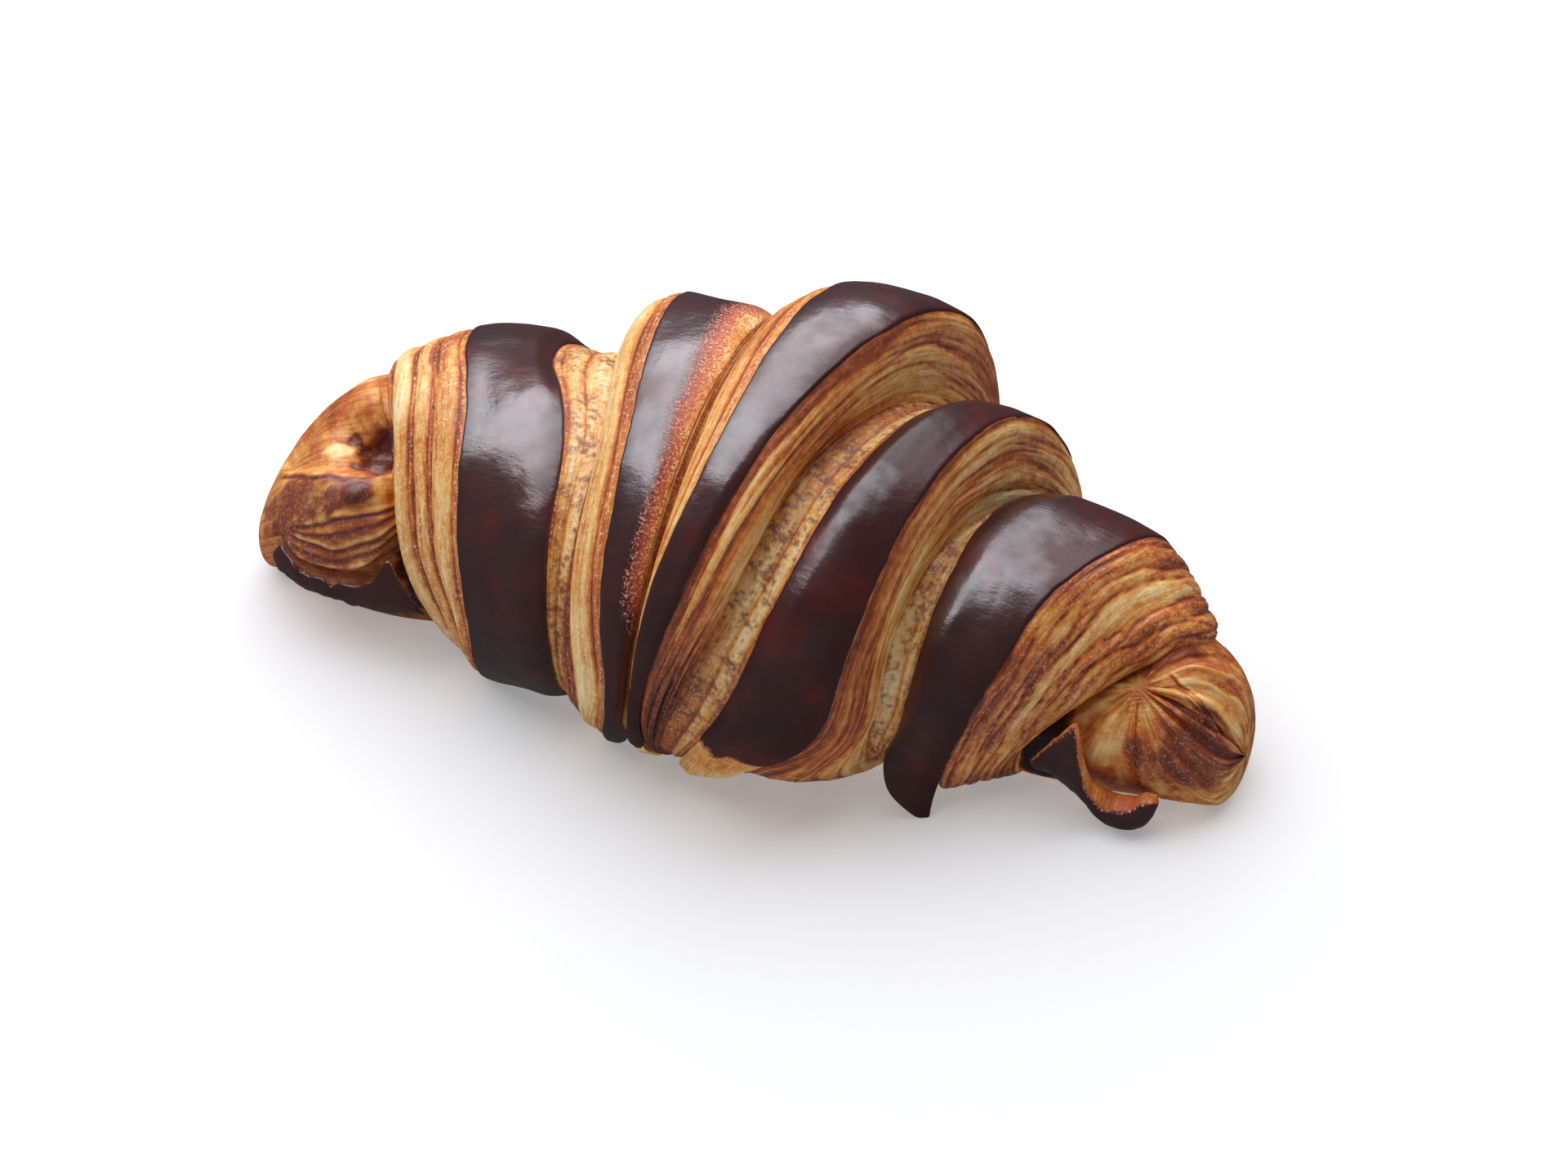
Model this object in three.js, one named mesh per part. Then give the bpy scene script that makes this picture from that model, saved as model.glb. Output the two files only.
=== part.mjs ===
// A two-tone chocolate croissant, baked, whole, lying on its flat base.
//
// A triangle of layered butter dough, faced with a thin sheet of cocoa dough, is rolled up from its
// wide side. Every turn of the roll is narrower than the one below it, so the outside shows five
// bands of cocoa skin, each with a golden cut edge of layers beside it, and a plain nose at each end.
// Millimetres. X runs along the chord from nose to nose, the noses bend towards -Y, Z is up and the
// base lies at zero. Angles go round the roll in degrees: 0 below, 90 at the front, 180 on top.
import * as THREE from 'three';

// The whole roll
const HALF_CHORD = 75;
const WIDTH_FACTOR = 1.04;
const BASE_SINK = 5;
const FULL_SINK_RADIUS = 30;

// Place along the chord and radius of the roll there, measured to the rims of the bands
const THICKNESS = [
  [-75, 6.4], [-66, 14.4], [-56, 19.5], [-45, 21.8], [-36, 22.8], [-24, 28.3], [-10, 29.8], [5, 33.5],
  [14, 34.5], [24, 32.3], [33, 25.2], [45, 19.7], [56, 15.9], [66, 12.8], [75, 8.2],
];

// Place along the chord and distance of the middle line behind the chord
const CRESCENT = [
  [-75, -2.3], [-50, 0], [-37, 2.9], [-25, 1.1], [-12, -2.4], [0, -3.1], [12, -2.3],
  [25, -0.6], [37, 3.5], [50, 4], [75, 1.3],
];

// What moves the middle of the whole to the origin
const CENTRE_SHIFT = [0, 2.07];

// Every line that runs round the roll is given by its place along the chord at these angles
const LINE_ANGLES = [50, 80, 110, 145, 185, 270];

// The five bands from the left nose to the right one. The foot is where the cut edge beside the band
// meets the turn below, level tells how nearly the band lies level across its width, ridges is the
// number of layers of a cut edge, flare lifts the end of the skin low at the front, taper is the share
// of its width that it loses there and skinStart is the column where the skin starts.
const STRIPS = [
  {
    name: '1', level: 0.75, ridgesLeft: 4, ridgesRight: 0, flare: 0, taper: 0, skinStart: 7,
    footLeft: [-39.7, -44.4, -46.6, -49.8, -56.3, -61], left: [-32.2, -30.1, -32.3, -36, -44, -47],
    right: [-17.3, -15.9, -17.1, -20, -30.6, -31], footRight: null,
  },
  {
    name: '2', level: 0.7, ridgesLeft: 3, ridgesRight: 0, flare: 0, taper: 0, skinStart: 7,
    footLeft: [-15.8, -14.6, -13.9, -14.3, -19.4, -26], left: [-9.4, -4.9, -5.8, -7.4, -12.5, -19],
    right: [-6.4, -2.3, 0.1, 1.1, 0.5, -5], footRight: null,
  },
  {
    name: '3', level: 0.6, ridgesLeft: 1, ridgesRight: 4, flare: 0, taper: 0, skinStart: 7,
    footLeft: [-5.1, -1.4, 1, 2.3, 1.5, 1], left: [-4.2, -0.6, 2, 6.6, 8.2, 4.5],
    right: [-1.6, 1.1, 6.6, 13.1, 20.6, 24.5], footRight: [0.6, 6.7, 13.3, 17.5, 22, 28.5],
  },
  {
    name: '4', level: 0.8, ridgesLeft: 0, ridgesRight: 2, flare: 0.6, taper: 0, skinStart: 7,
    footLeft: null, left: [3, 12.8, 18.4, 22.4, 26, 32.5],
    right: [12.5, 25.3, 29.1, 31.6, 35, 39.5], footRight: [27.9, 30.5, 31, 32.9, 36.3, 43],
  },
  {
    name: '5', level: 0.75, ridgesLeft: 0, ridgesRight: 5, flare: 4, taper: 0.8, skinStart: 8,
    footLeft: null, left: [29.2, 32.8, 34.3, 35.4, 37.2, 44.5],
    right: [36.9, 40.4, 44.3, 48.6, 54.9, 56], footRight: [46, 50, 56.2, 61.4, 67.5, 65],
  },
];

// Heights above the thickness along one band. A crown lies at each of two shares of its width.
const RIM_LIFT = 0.4;
const BAND_CROWN = 0.9;
const CROWN_SHARES = [0.3, 0.7];
const FADE_DROP = 0.8;

// A cut edge runs from its foot up to the rim. Each point of it has a share of the way from the foot
// and a share of the height still to go. A groove lies below the rim of the band that fades into it,
// less so towards the base.
const EDGE_LOW = { share: 0.12, drop: 0.48 };
const EDGE_HIGH = { share: 0.5, drop: 0.1 };
const SHOULDER_LEFT_HEIGHT = 6;
const SHOULDER_RIGHT_HEIGHT = 5.4;
const GROOVE_DEPTH = 1.7;
const FLOOR_LIFT = 0.3;
const DEPTH_ANGLES = { full: [105, 285], none: [50, 315], least: 0.4 };
const UNDERCUT = 1.3;
const FULL_UNDERCUT_REACH = 4;
const RIDGE_HEIGHT = 0.8;

// Points of the noses: an inset from the tip with a share of the thickness, then a share of the way
// from the tip to the fold, then a distance before the fold, these two with drops below the thickness
const TIP_LEFT = [{ inset: 0.7, scale: 0.5 }, { inset: 3, scale: 0.86 }];
const TIP_RIGHT = [{ inset: 0.4, scale: 0.56 }, { inset: 1.6, scale: 0.86 }];
const NOSE_LEFT = [{ share: 0.35, drop: 0.2, stepDrop: 0 }, { share: 0.7, drop: 0.4, stepDrop: 0.8 }];
const NOSE_RIGHT = [{ share: 0.5, drop: 0.3, stepDrop: 0.5 }];
const FOLD_LEFT = { before: 2, drop: 0.8, stepDrop: 2.2 };
const FOLD_RIGHT = { before: 1.2, drop: 0.6, stepDrop: 3.2 };

// The step between a nose and its shoulder is full at the front and nearly gone on top
const NOSE_STEP_LEFT = { full: [75, 140], none: [45, 172], least: 0.22 };
const NOSE_STEP_RIGHT = { full: [62, 140], none: [35, 178], least: 0.15 };

// The left nose has a ledge along its front, given by place and angle, and a hollow above the ledge
// beside the shoulder, with a blister on the roll below it
const LEDGE = [[-70, 160], [-66.7, 141], [-62, 134], [-58, 131], [-53, 129], [-46, 130]];
const LEDGE_DEPTH = 1.8;
const LEDGE_SOFT = 7;
const LEDGE_TOP = [180, 162];
const LEDGE_PLACES = { full: [-66, -50], none: [-71, -46] };
const HOLLOW = { before: 2.5, halfPlace: 5, angle: 149, halfAngle: 13, depth: 4.5 };
const BLISTER = { place: -51.6, halfPlace: 2.2, angle: 122, halfAngle: 6, height: 1.3 };

// Broad ridges fan out from one point over the right nose
const FAN = { place: 61, angle: 133, wave: 26, height: 0.6, clear: 4, millimetresPerDegree: 0.27 };
const FAN_ANGLES = { full: [60, 200], none: [35, 240] };

// The folds are undercut only where they are clear of the base
const CLEAR_OF_BASE = { full: [75, 290], none: [45, 320] };

// The cocoa skin lies in a recess of the dough, and a small gap stays round it
const SKIN_PROUD = 0.2;
const SKIN_DEPTH = 1;
const SKIN_GAP = 0.4;
const SKIN_INSET = 0.5;
const SKIN_INSET_SHARE = 0.2;
const RECESS_WALL_SHARE = 0.15;
const FLARE_ANGLES = [64, 48];

// Two torn pieces of cocoa skin lie low at the front of the noses, clear of the roll. Each reaches from
// a low angle up to a high one along its places, and is thickest where it stands out furthest. The left
// one lies in a recess of the nose.
const LIPS = [
  {
    name: 'cocoa_lip_left', inner: [[-67, -1.8], [-42, -1.8]],
    low: [[-67, 84], [-65, 74], [-63, 68], [-59, 66], [-55, 64], [-50, 64], [-45, 62], [-42, 60]],
    high: [[-67, 92], [-64.5, 95], [-62.7, 87], [-60, 81], [-56, 79], [-52.3, 75], [-49.5, 78],
      [-47.4, 84], [-45.6, 88], [-44.3, 80], [-42, 63]],
    thickness: [[-67, 1.8], [-63, 1.6], [-56, 1.4], [-47, 1], [-42, 1]],
  },
  {
    name: 'cocoa_lip_right',
    inner: [[48.5, -1.6], [51, -0.8], [54, 0], [57, 0.9], [60, 1.6], [63, 1.9], [67, 1.5]],
    low: [[48.5, 65], [51, 61], [54, 56], [57, 53], [60, 50], [63, 51], [65, 56], [67, 64]],
    high: [[48.5, 70], [50.5, 81], [52.5, 92], [54.3, 101], [55.6, 104], [56.6, 86], [57.6, 74],
      [59, 68], [61, 66], [63, 68], [65, 75], [67, 82]],
    thickness: [[48.5, 1.4], [54, 2], [57, 2.7], [60, 3.2], [64, 3.3], [67, 2.9]],
  },
];
const LIP_ROWS = 20;
const LIP_PARTS = 4;
const LIP_RECESS = { depth: 2.8, above: [4, 10], full: [-68, -43], none: [-72.5, -38] };
const NOSE_STEP = 0.5;

// How finely the surface is divided
const COLUMNS = 60;
const SKIN_END = 53;
const BAND_PARTS = 2;

const TURN = 360;

function clamp(value, low, high) {
  return Math.min(Math.max(value, low), high);
}

// A step from 0 to 1 with soft ends, falling when from is above to
function softStep(from, to, value) {
  const share = clamp((value - from) / (to - from), 0, 1);
  return share * share * (3 - 2 * share);
}

function softWindow({ full, none }, angle) {
  return softStep(none[0], full[0], angle) * softStep(none[1], full[1], angle);
}

function hill(value, middle, half) {
  return Math.exp(-(((value - middle) / half) ** 2));
}

// A cubic between two values with given slopes at its ends, at a share of the way from 0 to 1
function cubicBetween(first, last, firstSlope, lastSlope, share) {
  const step = share * share * (3 - 2 * share);
  const slopes = share * (1 - share) ** 2 * firstSlope - share * share * (1 - share) * lastSlope;
  return (1 - step) * first + step * last + slopes;
}

// The smooth curve through pairs of place and value
function smoothThrough(pairs, place) {
  const slopeAt = (index) => {
    const before = pairs[Math.max(index - 1, 0)];
    const here = pairs[index];
    const after = pairs[Math.min(index + 1, pairs.length - 1)];
    const stepBefore = here[0] - before[0];
    const stepAfter = after[0] - here[0];
    if (stepBefore === 0) {
      return (after[1] - here[1]) / stepAfter;
    }
    if (stepAfter === 0) {
      return (here[1] - before[1]) / stepBefore;
    }
    const rateBefore = (here[1] - before[1]) / stepBefore;
    const rateAfter = (after[1] - here[1]) / stepAfter;
    return (rateBefore * stepAfter + rateAfter * stepBefore) / (stepBefore + stepAfter);
  };
  let index = 0;
  while (index < pairs.length - 2 && place >= pairs[index + 1][0]) {
    index += 1;
  }
  const [start, first] = pairs[index];
  const [end, last] = pairs[index + 1];
  const share = clamp((place - start) / (end - start), 0, 1);
  const reach = end - start;
  return cubicBetween(first, last, slopeAt(index) * reach, slopeAt(index + 1) * reach, share);
}

function rollRadius(place) {
  return smoothThrough(THICKNESS, place);
}

// Height of the middle line of the roll
function axisHeight(place) {
  const base = rollRadius(place);
  return base - BASE_SINK * clamp(base / FULL_SINK_RADIUS, 0, 1);
}

// Place along the chord of a line round the roll, which closes on itself under the base
function linePlace(places, angle) {
  const count = LINE_ANGLES.length;
  const pairs = [];
  for (let index = -2; index < count + 2; index += 1) {
    const turns = Math.floor(index / count);
    const wrapped = index - turns * count;
    pairs.push([LINE_ANGLES[wrapped] + turns * TURN, places[wrapped]]);
  }
  const start = LINE_ANGLES[0];
  const wrappedAngle = start + ((((angle - start) % TURN) + TURN) % TURN);
  return smoothThrough(pairs, wrappedAngle);
}

// The lengthwise profile at one angle: a list of stations, each a place and a radius
class Profile {
  constructor(angle) {
    this.angle = angle;
    this.stations = [];
    this.numbers = new Map();
    this.clear = softWindow(CLEAR_OF_BASE, angle);
    this.depth = DEPTH_ANGLES.least + (1 - DEPTH_ANGLES.least) * softWindow(DEPTH_ANGLES, angle);
    this.build();
  }

  add(name, place, offset, scale = 1) {
    this.numbers.set(name, this.stations.length);
    this.stations.push([place, rollRadius(place) * scale + offset]);
  }

  build() {
    const first = linePlace(STRIPS[0].footLeft, this.angle);
    const last = linePlace(STRIPS[STRIPS.length - 1].footRight, this.angle);
    const stepLeft = softWindow(NOSE_STEP_LEFT, this.angle);
    const stepRight = softWindow(NOSE_STEP_RIGHT, this.angle);
    this.firstFoot = first;
    this.lastFoot = last;
    TIP_LEFT.forEach(({ inset, scale }, number) => {
      this.add(`tipLeft${number}`, inset - HALF_CHORD, 0, scale);
    });
    NOSE_LEFT.forEach(({ share, drop, stepDrop }, number) => {
      const place = share * (first + HALF_CHORD) - HALF_CHORD;
      this.add(`noseLeft${number}`, place, -drop - stepDrop * stepLeft);
    });
    this.add('foldLeft', first - FOLD_LEFT.before, -FOLD_LEFT.drop - FOLD_LEFT.stepDrop * stepLeft);
    const heightLeft = NOSE_STEP_LEFT.least + (1 - NOSE_STEP_LEFT.least) * stepLeft;
    const heightRight = NOSE_STEP_RIGHT.least + (1 - NOSE_STEP_RIGHT.least) * stepRight;
    STRIPS.forEach((strip, number) => {
      const before = STRIPS[number - 1];
      const next = STRIPS[number + 1];
      const shoulderLeft = rollRadius(first) - SHOULDER_LEFT_HEIGHT * heightLeft * this.depth;
      const shoulderRight = rollRadius(last) - SHOULDER_RIGHT_HEIGHT * heightRight;
      this.addFootLeft(strip, before ? this.grooveRadius(before, strip) : shoulderLeft);
      this.addBand(strip);
      this.addFootRight(strip, next ? this.grooveRadius(strip, next) : shoulderRight);
      this.addFloor(strip, next);
    });
    this.add('foldRight', last + FOLD_RIGHT.before, -FOLD_RIGHT.drop - FOLD_RIGHT.stepDrop * stepRight);
    NOSE_RIGHT.forEach(({ share, drop, stepDrop }, number) => {
      const place = HALF_CHORD - share * (HALF_CHORD - last);
      this.add(`noseRight${number}`, place, -drop - stepDrop * stepRight);
    });
    TIP_RIGHT.toReversed().forEach(({ inset, scale }, number) => {
      this.add(`tipRight${number}`, HALF_CHORD - inset, 0, scale);
    });
  }

  // What brings a place on a band nearer to the level of the whole band at this angle
  levelling({ level, left, right }, place) {
    const start = linePlace(left, this.angle);
    const end = linePlace(right, this.angle);
    const middle = (start + end) / 2;
    const upward = Math.max(0, -Math.cos(THREE.MathUtils.degToRad(this.angle)));
    const toMean = (valueAt) => (valueAt(start) + 2 * valueAt(middle) + valueAt(end)) / 4 - valueAt(place);
    return level * (toMean(rollRadius) + upward * toMean(axisHeight));
  }

  // Height of a band's rim above the thickness there
  rimLift(strip, rim, foot) {
    return (foot ? RIM_LIFT : -FADE_DROP) + this.levelling(strip, linePlace(rim, this.angle));
  }

  // The cut edge left of a band, from a foot of the given radius up to the rim
  addFootLeft(strip, bottom) {
    const { name, footLeft, left } = strip;
    if (footLeft) {
      const foot = linePlace(footLeft, this.angle);
      const reach = linePlace(left, this.angle) - foot;
      const start = foot + UNDERCUT * this.clear * Math.min(1, reach / FULL_UNDERCUT_REACH);
      const lift = this.rimLift(strip, left, footLeft);
      const drop = bottom - rollRadius(foot);
      this.add(`footLeft${name}`, start, bottom - rollRadius(start));
      [['low', EDGE_LOW], ['high', EDGE_HIGH]].forEach(([label, point]) => {
        this.add(`${label}Left${name}`, foot + point.share * reach, point.share * lift + point.drop * drop);
      });
    }
  }

  addBand(strip) {
    const { name, footLeft, left, right, footRight } = strip;
    const start = linePlace(left, this.angle);
    const end = linePlace(right, this.angle);
    this.add(`left${name}`, start, this.rimLift(strip, left, footLeft));
    CROWN_SHARES.forEach((share, number) => {
      const place = start + share * (end - start);
      this.add(`crown${number}${name}`, place, BAND_CROWN + this.levelling(strip, place));
    });
    this.add(`right${name}`, end, this.rimLift(strip, right, footRight));
  }

  // The cut edge right of a band, from the rim down to a foot of the given radius
  addFootRight(strip, bottom) {
    const { name, right, footRight } = strip;
    if (footRight) {
      const foot = linePlace(footRight, this.angle);
      const reach = foot - linePlace(right, this.angle);
      const end = foot - UNDERCUT * this.clear * Math.min(1, reach / FULL_UNDERCUT_REACH);
      const lift = this.rimLift(strip, right, footRight);
      const drop = bottom - rollRadius(foot);
      [['high', EDGE_HIGH], ['low', EDGE_LOW]].forEach(([label, point]) => {
        this.add(`${label}Right${name}`, foot - point.share * reach, point.share * lift + point.drop * drop);
      });
      this.add(`footRight${name}`, end, bottom - rollRadius(end));
    }
  }

  // Radius of the groove between two bands: below the rim of the one that fades into it
  grooveRadius(strip, next) {
    const [band, rim] = next.footLeft ? [strip, strip.right] : [next, next.left];
    const lift = this.rimLift(band, rim, null);
    return rollRadius(linePlace(rim, this.angle)) + lift - GROOVE_DEPTH * this.depth;
  }

  addFloor(strip, next) {
    if (next) {
      const start = linePlace(strip.footRight || strip.right, this.angle);
      const end = linePlace(next.footLeft || next.left, this.angle);
      const place = (start + end) / 2;
      this.add(`floor${strip.name}`, place, this.grooveRadius(strip, next) + FLOOR_LIFT - rollRadius(place));
    }
  }

  // Height of the ledge, the hollow, the blister and the lip's recess of the left nose and of the fan on
  // the right one
  noseRelief(place) {
    if (place < this.firstFoot) {
      const ledge = smoothThrough(LEDGE, place);
      const above = softStep(ledge, ledge + LEDGE_SOFT, this.angle);
      const below = softStep(LEDGE_TOP[0], LEDGE_TOP[1], this.angle);
      const step = LEDGE_DEPTH * above * below * softWindow(LEDGE_PLACES, place);
      const beside = hill(place, this.firstFoot - HOLLOW.before, HOLLOW.halfPlace);
      const hollow = HOLLOW.depth * beside * hill(this.angle, HOLLOW.angle, HOLLOW.halfAngle);
      const overBlister = hill(place, BLISTER.place, BLISTER.halfPlace);
      const blister = BLISTER.height * overBlister * hill(this.angle, BLISTER.angle, BLISTER.halfAngle);
      const lip = smoothThrough(LIPS[0].high, place);
      const [full, none] = LIP_RECESS.above.map((clear) => lip + clear);
      const underLip = softStep(none, full, this.angle) * softWindow(LIP_RECESS, place);
      return blister - step - hollow - LIP_RECESS.depth * underLip;
    }
    if (place > this.lastFoot) {
      const up = (this.angle - FAN.angle) * FAN.millimetresPerDegree;
      const along = place - FAN.place;
      const direction = THREE.MathUtils.radToDeg(Math.atan2(up, along));
      const reach = softStep(0, FAN.clear, Math.hypot(up, along)) * softWindow(FAN_ANGLES, this.angle);
      return FAN.height * reach * Math.cos((direction / FAN.wave) * 2 * Math.PI);
    }
    return 0;
  }

  at(position) {
    const [place, radius] = this.curveAt(position);
    return [place, radius + this.noseRelief(place)];
  }

  // Place and radius between the stations. The curve never passes beyond a station.
  curveAt(position) {
    const last = this.stations.length - 1;
    const index = clamp(Math.floor(position), 0, last - 1);
    const share = position - index;
    return [0, 1].map((part) => {
      const value = (number) => this.stations[clamp(number, 0, last)][part];
      const slopeAt = (number) => {
        const before = value(number) - value(number - 1);
        const after = value(number + 1) - value(number);
        return before * after > 0 ? (2 * before * after) / (before + after) : 0;
      };
      return cubicBetween(value(index), value(index + 1), slopeAt(index), slopeAt(index + 1), share);
    });
  }

  // Position of a place on a band, whose places only rise from one station to the next
  positionOnBand(strip, place) {
    let low = this.numbers.get(`left${strip.name}`);
    let high = this.numbers.get(`right${strip.name}`);
    const halvings = 30;
    for (let step = 0; step < halvings; step += 1) {
      const middle = (low + high) / 2;
      if (this.at(middle)[0] < place) {
        low = middle;
      } else {
        high = middle;
      }
    }
    return (low + high) / 2;
  }
}

function curveOffset(place) {
  return smoothThrough(CRESCENT, place);
}

// The point at a place along the chord, a radius and an angle. What would lie below the base is flat.
function rollPoint(place, radius, angle) {
  const turn = THREE.MathUtils.degToRad(angle);
  const onChord = clamp(place, -HALF_CHORD, HALF_CHORD);
  const height = axisHeight(onChord) - radius * Math.cos(turn);
  return new THREE.Vector3(
    place,
    curveOffset(onChord) - WIDTH_FACTOR * radius * Math.sin(turn),
    Math.max(height, 0),
  );
}

// A closed body through equal loops of points, shut at both ends by the given caps of triangles
function loft(loops, capFirst, capLast, extraPoints = []) {
  const size = loops[0].length;
  const points = loops.flat().concat(extraPoints);
  const triangles = [];
  for (let row = 0; row < loops.length - 1; row += 1) {
    for (let step = 0; step < size; step += 1) {
      const next = (step + 1) % size;
      const here = row * size;
      const there = here + size;
      triangles.push(here + step, there + next, here + next);
      triangles.push(here + step, there + step, there + next);
    }
  }
  const lastRow = (loops.length - 1) * size;
  capFirst.forEach(([a, b, c]) => triangles.push(a, b, c));
  capLast.forEach(([a, b, c]) => triangles.push(a + lastRow, c + lastRow, b + lastRow));
  const geometry = new THREE.BufferGeometry().setFromPoints(points);
  geometry.setIndex(triangles);
  geometry.computeVertexNormals();
  return geometry;
}

const ANGLES = Array.from({ length: COLUMNS }, (_, column) => (column * TURN) / COLUMNS);
const PROFILES = ANGLES.map((angle) => new Profile(angle));

function bandInset(profile, strip) {
  const left = linePlace(strip.left, profile.angle);
  const right = linePlace(strip.right, profile.angle);
  return Math.min(SKIN_INSET, SKIN_INSET_SHARE * (right - left));
}

function hasSkin(strip, column) {
  return column >= strip.skinStart && column <= SKIN_END;
}

// Rows of the dough between two named stations, with a ridge for each layer of the cut edge
function edgeRows(from, to, ridges, isLeft) {
  const parts = Math.max(2 * ridges, 1);
  return Array.from({ length: parts }, (_, part) => (profile) => {
    const start = profile.numbers.get(from);
    const end = profile.numbers.get(to);
    const share = (isLeft ? part : part + 1) / parts;
    const [place, radius] = profile.at(start + share * (end - start));
    const isRidge = part % 2 === (isLeft ? 1 : 0);
    const isInside = isLeft ? part > 0 : part < parts - 1;
    return [place, radius + (isInside && isRidge ? RIDGE_HEIGHT : 0)];
  });
}

function stationRow(name) {
  return (profile) => profile.at(profile.numbers.get(name));
}

// Rows from one named station up to another, both included, with the given step between stations
function rowsThrough(from, to, step) {
  const first = PROFILES[0].numbers.get(from);
  const parts = Math.round((PROFILES[0].numbers.get(to) - first) / step);
  return Array.from({ length: parts + 1 }, (_, part) => (profile) => profile.at(first + part * step));
}

// Rows of the dough across a band: its two rims, and between them the floor of the recess
function bandRows(strip) {
  const left = stationRow(`left${strip.name}`);
  const right = stationRow(`right${strip.name}`);
  const recessed = (place) => (profile, column) => {
    const [x, radius] = profile.at(profile.positionOnBand(strip, place(profile)));
    return [x, radius - (hasSkin(strip, column) ? SKIN_DEPTH + SKIN_GAP : 0)];
  };
  const start = (profile) => linePlace(strip.left, profile.angle);
  const end = (profile) => linePlace(strip.right, profile.angle);
  const wall = (profile) => RECESS_WALL_SHARE * bandInset(profile, strip);
  const rows = [left, recessed((profile) => start(profile) + wall(profile))];
  for (let part = 1; part < BAND_PARTS; part += 1) {
    const share = part / BAND_PARTS;
    rows.push(recessed((profile) => start(profile) + share * (end(profile) - start(profile))));
  }
  rows.push(recessed((profile) => end(profile) - wall(profile)), right);
  return rows;
}

function doughRows() {
  const rows = [stationRow('tipLeft0'), ...rowsThrough('tipLeft1', 'foldLeft', NOSE_STEP)];
  STRIPS.forEach((strip, number) => {
    const { name } = strip;
    if (strip.footLeft) {
      rows.push(...edgeRows(`footLeft${name}`, `left${name}`, strip.ridgesLeft, true));
    }
    rows.push(...bandRows(strip));
    if (strip.footRight) {
      rows.push(...edgeRows(`right${name}`, `footRight${name}`, strip.ridgesRight, false));
    }
    if (number < STRIPS.length - 1) {
      rows.push(stationRow(`floor${name}`));
    }
  });
  rows.push(...rowsThrough('foldRight', 'tipRight1', NOSE_STEP));
  return rows;
}

function doughGeometry() {
  const loops = doughRows().map((row) => PROFILES.map((profile, column) => {
    const [place, radius] = row(profile, column);
    return rollPoint(place, radius, profile.angle);
  }));
  const tips = [rollPoint(-HALF_CHORD, 0, 0), rollPoint(HALF_CHORD, 0, 0)];
  const leftTip = loops.length * COLUMNS;
  const rightTip = leftTip + 1 - (loops.length - 1) * COLUMNS;
  const fan = (tip) => ANGLES.map((_, column) => [column, (column + 1) % COLUMNS, tip]);
  return loft(loops, fan(leftTip), fan(rightTip), tips);
}

// A thin shell: each loop goes along its outer face and back along its inner face
function shellGeometry(loops) {
  const size = loops[0].length;
  const cap = [];
  for (let step = 0; step < size / 2 - 1; step += 1) {
    const opposite = size - 1 - step;
    cap.push([step, step + 1, opposite - 1], [step, opposite - 1, opposite]);
  }
  return loft(loops, cap, cap);
}

function bandGeometry(strip) {
  const loops = [];
  for (let column = SKIN_END; column >= strip.skinStart; column -= 1) {
    const profile = PROFILES[column];
    const inset = bandInset(profile, strip);
    const end = linePlace(strip.right, profile.angle) - inset;
    const low = softStep(FLARE_ANGLES[0], FLARE_ANGLES[1], profile.angle);
    const flare = strip.flare * low;
    const whole = linePlace(strip.left, profile.angle) + inset;
    const start = whole + strip.taper * low * (end - whole);
    const face = (offset) => Array.from({ length: BAND_PARTS + 1 }, (_, part) => {
      const place = start + (part / BAND_PARTS) * (end - start);
      const [x, radius] = profile.at(profile.positionOnBand(strip, place));
      return rollPoint(x, radius + offset + flare, profile.angle);
    });
    loops.push([...face(SKIN_PROUD), ...face(-SKIN_DEPTH).reverse()]);
  }
  return shellGeometry(loops);
}

function lipGeometry({ inner, low, high, thickness }) {
  const start = low[0][0];
  const end = low[low.length - 1][0];
  const loops = [];
  for (let row = 0; row <= LIP_ROWS; row += 1) {
    const place = start + (row / LIP_ROWS) * (end - start);
    const lowAngle = smoothThrough(low, place);
    const highAngle = smoothThrough(high, place);
    const innerRadius = rollRadius(place) + smoothThrough(inner, place);
    const face = (radius) => Array.from({ length: LIP_PARTS + 1 }, (_, part) => {
      const angle = lowAngle + (part / LIP_PARTS) * (highAngle - lowAngle);
      return rollPoint(place, radius, angle);
    });
    const outerRadius = innerRadius + smoothThrough(thickness, place);
    loops.push([...face(outerRadius), ...face(innerRadius).reverse()]);
  }
  return shellGeometry(loops);
}

function material(colour, roughness) {
  return new THREE.MeshStandardMaterial({ color: colour, roughness, metalness: 0 });
}

function mesh(name, geometry, finish) {
  const piece = new THREE.Mesh(geometry, finish);
  piece.name = name;
  return piece;
}

const doughFinish = material(0xc88c3c, 0.5);
const cocoaFinish = material(0x371c1c, 0.25);

const croissant = new THREE.Group();
croissant.position.set(...CENTRE_SHIFT, 0);
croissant.add(mesh('pastry_body', doughGeometry(), doughFinish));
STRIPS.forEach((strip) => {
  croissant.add(mesh(`cocoa_band_${strip.name}`, bandGeometry(strip), cocoaFinish));
});

LIPS.forEach((lip) => croissant.add(mesh(lip.name, lipGeometry(lip), cocoaFinish)));

export default croissant;
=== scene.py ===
"""A two-tone chocolate croissant, baked and whole, on a plain pale floor under one soft light.

The dough and the cocoa skin are built on the roll's own lengthwise profile, the same one as the
solids have, and carry their layers, strands and grain as real relief. Sizes are in millimetres and
angles in degrees until the meshes are made. Angles go round the roll: 0 below, 90 at the front,
180 on top. Place runs along the chord from the left nose to the right one.
"""
import math

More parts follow.
